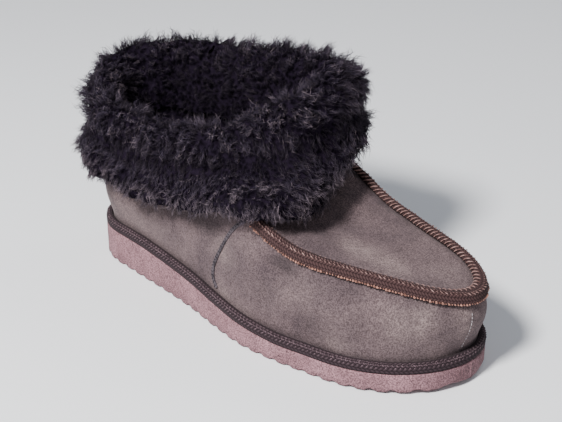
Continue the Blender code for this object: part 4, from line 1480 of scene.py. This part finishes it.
def cuff_sections(turns):
    """Sections of the turned-down cuff, which hangs over the shaft's top edge like a saddle."""
    fold = ring_in_space(FOLD_ROWS, turns)
    throat = ring_in_space(THROAT_ROWS, turns)
    hem = ring_in_space(HEM_ROWS, turns)
    out, crest = read_ring(CUFF_ROWS, turns).T
    out = out * CUFF_OUT
    crest = crest * CUFF_CREST
    fold_out = outward(fold[:, :2])
    hem_out = outward(hem[:, :2])
    none = np.zeros_like(out)

    def over(aside, rise):
        """A line beside the fold and above it."""
        return np.column_stack((fold[:, :2] + fold_out * aside[:, None], fold[:, 2] + rise))

    def inside(aside, depth):
        """A line on the shaft's inner face, at this depth and `aside` into the mouth."""
        shaft = mix(fold, throat, depth / (fold[:, 2] - throat[:, 2]))
        aside = aside + UPPER_WALL + CUFF_GAP
        return shaft - np.column_stack((fold_out * aside, none))

    def outside(aside, share):
        """A line at a share of the way from the fold to the hem, and `aside` outward."""
        facing = fold_out * (1.0 - share) + hem_out * share
        return mix(fold, hem, share + none) + np.column_stack((facing * aside[:, None], none))

    depth = (fold[:, 2] - throat[:, 2]) * MOUTH_DEPTH_SHARE
    outer = (
        inside(0.0, depth),
        inside(MOUTH_WOOL * 0.75, depth),
        inside(MOUTH_WOOL, depth * 0.45),
        over(none - UPPER_WALL - MOUTH_WOOL * 0.5, crest * 0.60),
        over(none, crest),
        over(out * 0.52, crest * 0.88),
        over(out * 0.88, crest * 0.36),
        outside(out, 0.14),
        outside(out * 0.86, 0.42),
        outside(out * 0.88, 0.64),
        outside(out * 0.62, 0.90),
        outside(out * 0.36, 1.0) - (0.0, 0.0, HEM_THICKNESS),
    )
    inner = (
        outside(none, 1.0),
        outside(none + CUFF_GAP, 0.45),
        over(none + CUFF_GAP, none + CUFF_GAP),
        over(none - UPPER_WALL - CUFF_GAP, none + CUFF_GAP),
    )
    return np.array(outer), np.array(inner)


CUFF_COLUMNS = 288
TUFT = 0.0105
LOCK_KINDS = 8
WOOL_LIE = np.array((
    # lift, droop, reach, sink, raised, dark (painted shade, most inside the mouth and in the crease under the
    # roll), at each point of the section from the mouth to the hem
    (0.60, 0.10, 0.0055, -0.0015, 0.0000, 1.00),
    (0.70, 0.10, 0.0060, -0.0015, 0.0000, 1.00),
    (0.75, 0.05, 0.0070, -0.0018, 0.0000, 0.92),
    (0.85, 0.05, 0.0085, -0.0020, 0.0000, 0.55),
    (0.90, 0.20, 0.0098, -0.0022, 0.0000, 0.10),
    (0.85, 0.35, 0.0100, -0.0022, 0.0000, 0.00),
    (0.75, 0.45, 0.0098, -0.0020, 0.0000, 0.12),
    (0.50, 0.90, 0.0060, -0.0062, 0.0000, 1.00),
    (0.62, 0.70, 0.0080, -0.0030, 0.0003, 0.15),
    (0.68, 0.58, 0.0088, -0.0018, 0.0008, 0.00),
    (0.70, 0.60, 0.0078, -0.0016, 0.0030, 0.00),
    (0.60, 0.60, 0.0056, -0.0010, 0.0046, 0.20),
))
CUFF_PARTS = (
    # title, first turn, last turn
    ("heel", -0.125, 0.125),
    ("outer", 0.125, 0.345),
    ("front", 0.345, 0.60),
    ("inner", 0.60, 0.875),
)

cuff_turns = np.arange(CUFF_COLUMNS) / CUFF_COLUMNS
cuff_outer, cuff_inner = cuff_sections(cuff_turns)
cuff_face = through(cuff_outer, count=40)
cuff_normals = -grid_normals(cuff_face)
cuff_down = unit(np.gradient(cuff_face, axis=0))
cuff_depth = row_places(cuff_outer)[-1]
profile_place = row_places(cuff_outer) / cuff_depth
face_place = np.linspace(0.0, 1.0, len(cuff_face))
lift, droop, reach, sink, raised, dark = [
    np.interp(face_place, profile_place, column)[:, None] for column in WOOL_LIE.T]
# over the instep the hem lies lower and its wool is longer, so that it rests on the apron
instep = np.clip(1.0 - np.abs(cuff_turns - 0.520) / 0.10, 0.0, 1.0)[None, :] ** 0.5
skirt = np.clip(raised / 0.0012, 0.0, 1.0)
raised = raised * (1.0 - 0.85 * instep)
reach = reach * (1.0 + 0.20 * instep * skirt)


def tufts(face):
    """For each place on the cuff, the way to the middle of its tuft, and how near its edge it is."""
    dice = np.random.default_rng(8)
    rows = np.arange(0.0, len(face) - 1.0, TUFT / (cuff_depth / (len(face) - 1)))
    around = np.linalg.norm(np.roll(face, -1, axis=1) - face, axis=2).mean() * face.shape[1]
    count = int(around / TUFT)
    middles = []
    for number, row in enumerate(rows):
        column = (np.arange(count) + 0.5 * (number % 2)) * face.shape[1] / count
        column = (column + dice.uniform(-0.6, 0.6, count) * face.shape[1] / count).astype(int)
        these = np.clip(row + dice.uniform(-1.9, 1.9, count), 0, len(face) - 1).astype(int)
        middles.append(face[these, column % face.shape[1]])
    middles = np.concatenate(middles)
    towards = np.zeros_like(face)
    edge = np.zeros(face.shape[:2])
    for row, line in enumerate(face):
        away = middles[None] - line[:, None]
        distance = np.linalg.norm(away, axis=2)
        order = np.argsort(distance, axis=1)[:, :2]
        column = np.arange(len(line))
        towards[row] = away[column, order[:, 0]]
        edge[row] = distance[column, order[:, 0]] / distance[column, order[:, 1]]
    return towards, edge


to_tuft, tuft_edge = tufts(cuff_face)
lump = bumps(cuff_face, 48.0, 12.0) * 0.0032 + bumps(cuff_face, 95.0, 17.0) * 0.0012
lump = lump + sink + 0.0010 * (1.0 - tuft_edge ** 2)
skin = cuff_face + cuff_normals * lump[..., None] - cuff_down * raised[..., None]
skin[0] = cuff_outer[0]
base = grid_mesh("wool_cuff_base", np.concatenate((skin, cuff_inner))[::-1], wrap_rows=True)
finish_piece(base, PILE, "wool", "wool_cuff")

# The locks follow the skin's lie and some swirls, draw to the middle of each tuft, and keep out of the skin
flow = cuff_normals * lift[..., None] + cuff_down * droop[..., None]
flow = flow + swirls(cuff_face, 38.0, (31.0, 37.0, 43.0)) * 0.7
flow = flow + swirls(cuff_face, 78.0, (71.0, 77.0, 83.0)) * 0.75
flow = flow + swirls(cuff_face, 150.0, (51.0, 57.0, 63.0)) * 0.35
flow = flow + to_tuft / TUFT * 0.6
standing = np.sum(unit(flow) * cuff_normals, axis=-1)
flow = unit(flow + np.maximum(0.0, 0.25 - standing)[..., None] * cuff_normals * 2.0)
# painted shading of the cuff's wool: painted light on the lower skirt, where it is negative, and painted
# shade inside the mouth, in the crease and in the gaps between tufts, where it is positive
lit_skirt = skirt * (1.0 - dark)
mouth_cover = np.interp(face_place, profile_place[[0, 2, 4]], (0.45, 0.60, 1.0))[:, None]
lie = {
    "flow": flow,
    "reach": reach * (1.15 - 0.45 * tuft_edge),
    "painted_shading": np.maximum(dark, tuft_edge ** 2 * (1.0 - 0.6 * lit_skirt)) - lit_skirt,
    "cover": np.broadcast_to(mouth_cover, tuft_edge.shape),
}


def grow_wool(name, grid, facts, slot, density, shortest, longest, seed, closed=True):
    """Locks of wool over a grid of skin, which lie as its facts say."""
    strip = grid_mesh(name, grid, closed=closed, facts=facts)
    Nodes.run(strip, LOCK_TREE, locks_per_square_metre=density, shortest=shortest, longest=longest,
              seed=seed, locks=locks, kinds=LOCK_KINDS, finish=WOOL)
    finish_piece(strip, WOOL, slot)


locks = lock_set("lock", LOCK_KINDS, long=3, short=4, spread=0.20, width=0.0190, curl=0.20)
for number, (title, start, end) in enumerate(CUFF_PARTS):
    first = int(round(start * CUFF_COLUMNS))
    last = int(round(end * CUFF_COLUMNS))
    columns = np.arange(first, last + 1) % CUFF_COLUMNS
    facts = {name: values[:, columns][::-1] for name, values in lie.items()}
    grow_wool("wool_cuff_" + title, skin[:, columns][::-1], facts, "wool", density=154000.0,
              shortest=0.62, longest=1.24, seed=20 + number, closed=False)

# Pile of the lining, where the mouth shows it, and of the insole
lining_facts = {
    "flow": unit(swirls(lining_grid, 90.0, (3.0, 5.0, 9.0)) * 1.2 - grid_normals(lining_grid)),
    "reach": np.full(lining_grid.shape[:2], 0.0075),
    "cover": (lining_grid[..., 0] < 0.135) * (lining_grid[..., 2] < 0.100),
    # painted shade on the lining's pile inside the shoe
    "painted_shading": np.full(lining_grid.shape[:2], 0.5),
}
grow_wool("wool_lining_pile", lining_grid, lining_facts, "sheepskin_sock", density=17000.0,
          shortest=0.7, longest=1.2, seed=41)
sock_swirls = swirls(sock_grid, 90.0, (13.0, 15.0, 19.0)) * (1.6, 1.6, 0.2)
sock_facts = {
    "flow": unit(np.array((0.0, 0.0, 1.0)) + sock_swirls),
    "reach": np.full(sock_grid.shape[:2], 0.0070),
    "cover": sock_grid[..., 0] < 0.125,
    # painted light on the insole's pile
    "painted_shading": np.full(sock_grid.shape[:2], -1.0),
}
grow_wool("insole_pile", sock_grid, sock_facts, "sheepskin_sock", density=40000.0,
          shortest=0.7, longest=1.2, seed=47, closed=False)

drop_group(locks)
for shape in (dot, whip, dash, lower, seam_dot):
    bpy.data.objects.remove(shape, do_unlink=True)


# Floor, light and camera

FLOOR_HALF = 6.0
FLOOR_COLOUR = (0.86, 0.86, 0.87, 1.0)
SKY_COLOUR = (0.80, 0.87, 1.0, 1.0)
SKY_STRENGTH = 0.34
LIT_PLACE = (0.09, 0.0, 0.05)
LAMPS = (
    # name, place, size, power
    ("key", (0.270, -1.13, 1.24), 0.32, 62.0),
    ("fill", (1.3, -0.9, 0.9), 1.2, 3.0),
    ("back", (0.3, 1.4, 1.3), 1.2, 5.0),
)
# The fitted camera: angles in degrees, lengths in pixels of the photograph, and a little closer than it was
CAMERA_PLACE = (0.5833, -0.4804, 0.3812)
AZIMUTH = 39.44
ELEVATION = 25.2
ROLL = 2.09
PHOTO_WIDTH = 562.0
PHOTO_FOCAL = 1142.0
AIM_ASIDE = 89.0
CLOSER = 1.10
SENSOR_WIDTH = 36.0


def studio():
    """A pale floor, a dim sky and three round lamps."""
    corners = [(x * FLOOR_HALF, y * FLOOR_HALF, 0.0) for x, y in ((-1, -1), (1, -1), (1, 1), (-1, 1))]
    floor_mesh = bpy.data.meshes.new("floor")
    floor_mesh.from_pydata(corners, [], [(0, 1, 2, 3)])
    floor = bpy.data.objects.new("floor", floor_mesh)
    bpy.context.scene.collection.objects.link(floor)
    pale = bpy.data.materials.new("pale_floor")
    pale.use_nodes = True
    shader = pale.node_tree.nodes["Principled BSDF"]
    shader.inputs["Base Color"].default_value = FLOOR_COLOUR
    shader.inputs["Roughness"].default_value = 0.9
    floor_mesh.materials.append(pale)

    world = bpy.data.worlds.new("studio")
    world.use_nodes = True
    sky = world.node_tree.nodes["Background"]
    sky.inputs["Color"].default_value = SKY_COLOUR
    sky.inputs["Strength"].default_value = SKY_STRENGTH
    bpy.context.scene.world = world

    for name, place, size, power in LAMPS:
        lamp = bpy.data.lights.new(name, "AREA")
        lamp.shape = "DISK"
        lamp.size = size
        lamp.energy = power
        light = bpy.data.objects.new(name, lamp)
        light.location = place
        light.rotation_mode = "QUATERNION"
        light.rotation_quaternion = (Vector(LIT_PLACE) - Vector(place)).to_track_quat("-Z", "Y")
        bpy.context.scene.collection.objects.link(light)


def aim_camera():
    """The photograph's viewpoint, turned a little so that the one shoe fills the frame."""
    azimuth = math.radians(AZIMUTH)
    elevation = math.radians(ELEVATION)
    roll = math.radians(ROLL)
    back = Vector((math.sin(azimuth) * math.cos(elevation), -math.cos(azimuth) * math.cos(elevation),
                   math.sin(elevation)))
    right = Vector((0.0, 0.0, 1.0)).cross(back).normalized()
    up = back.cross(right)
    rolled_right = math.cos(roll) * right + math.sin(roll) * up
    rolled_up = -math.sin(roll) * right + math.cos(roll) * up
    swing = Matrix.Rotation(math.atan(AIM_ASIDE / PHOTO_FOCAL), 3, rolled_up)
    turn = Matrix((swing @ rolled_right, rolled_up, swing @ back)).transposed()
    lens = bpy.data.cameras.new("camera")
    lens.sensor_width = SENSOR_WIDTH
    lens.lens = PHOTO_FOCAL * CLOSER / PHOTO_WIDTH * SENSOR_WIDTH
    lens.clip_start = 0.01
    lens.clip_end = 50.0
    camera = bpy.data.objects.new("camera", lens)
    camera.matrix_world = turn.to_4x4()
    camera.location = CAMERA_PLACE
    bpy.context.scene.collection.objects.link(camera)
    bpy.context.scene.camera = camera


studio()
aim_camera()
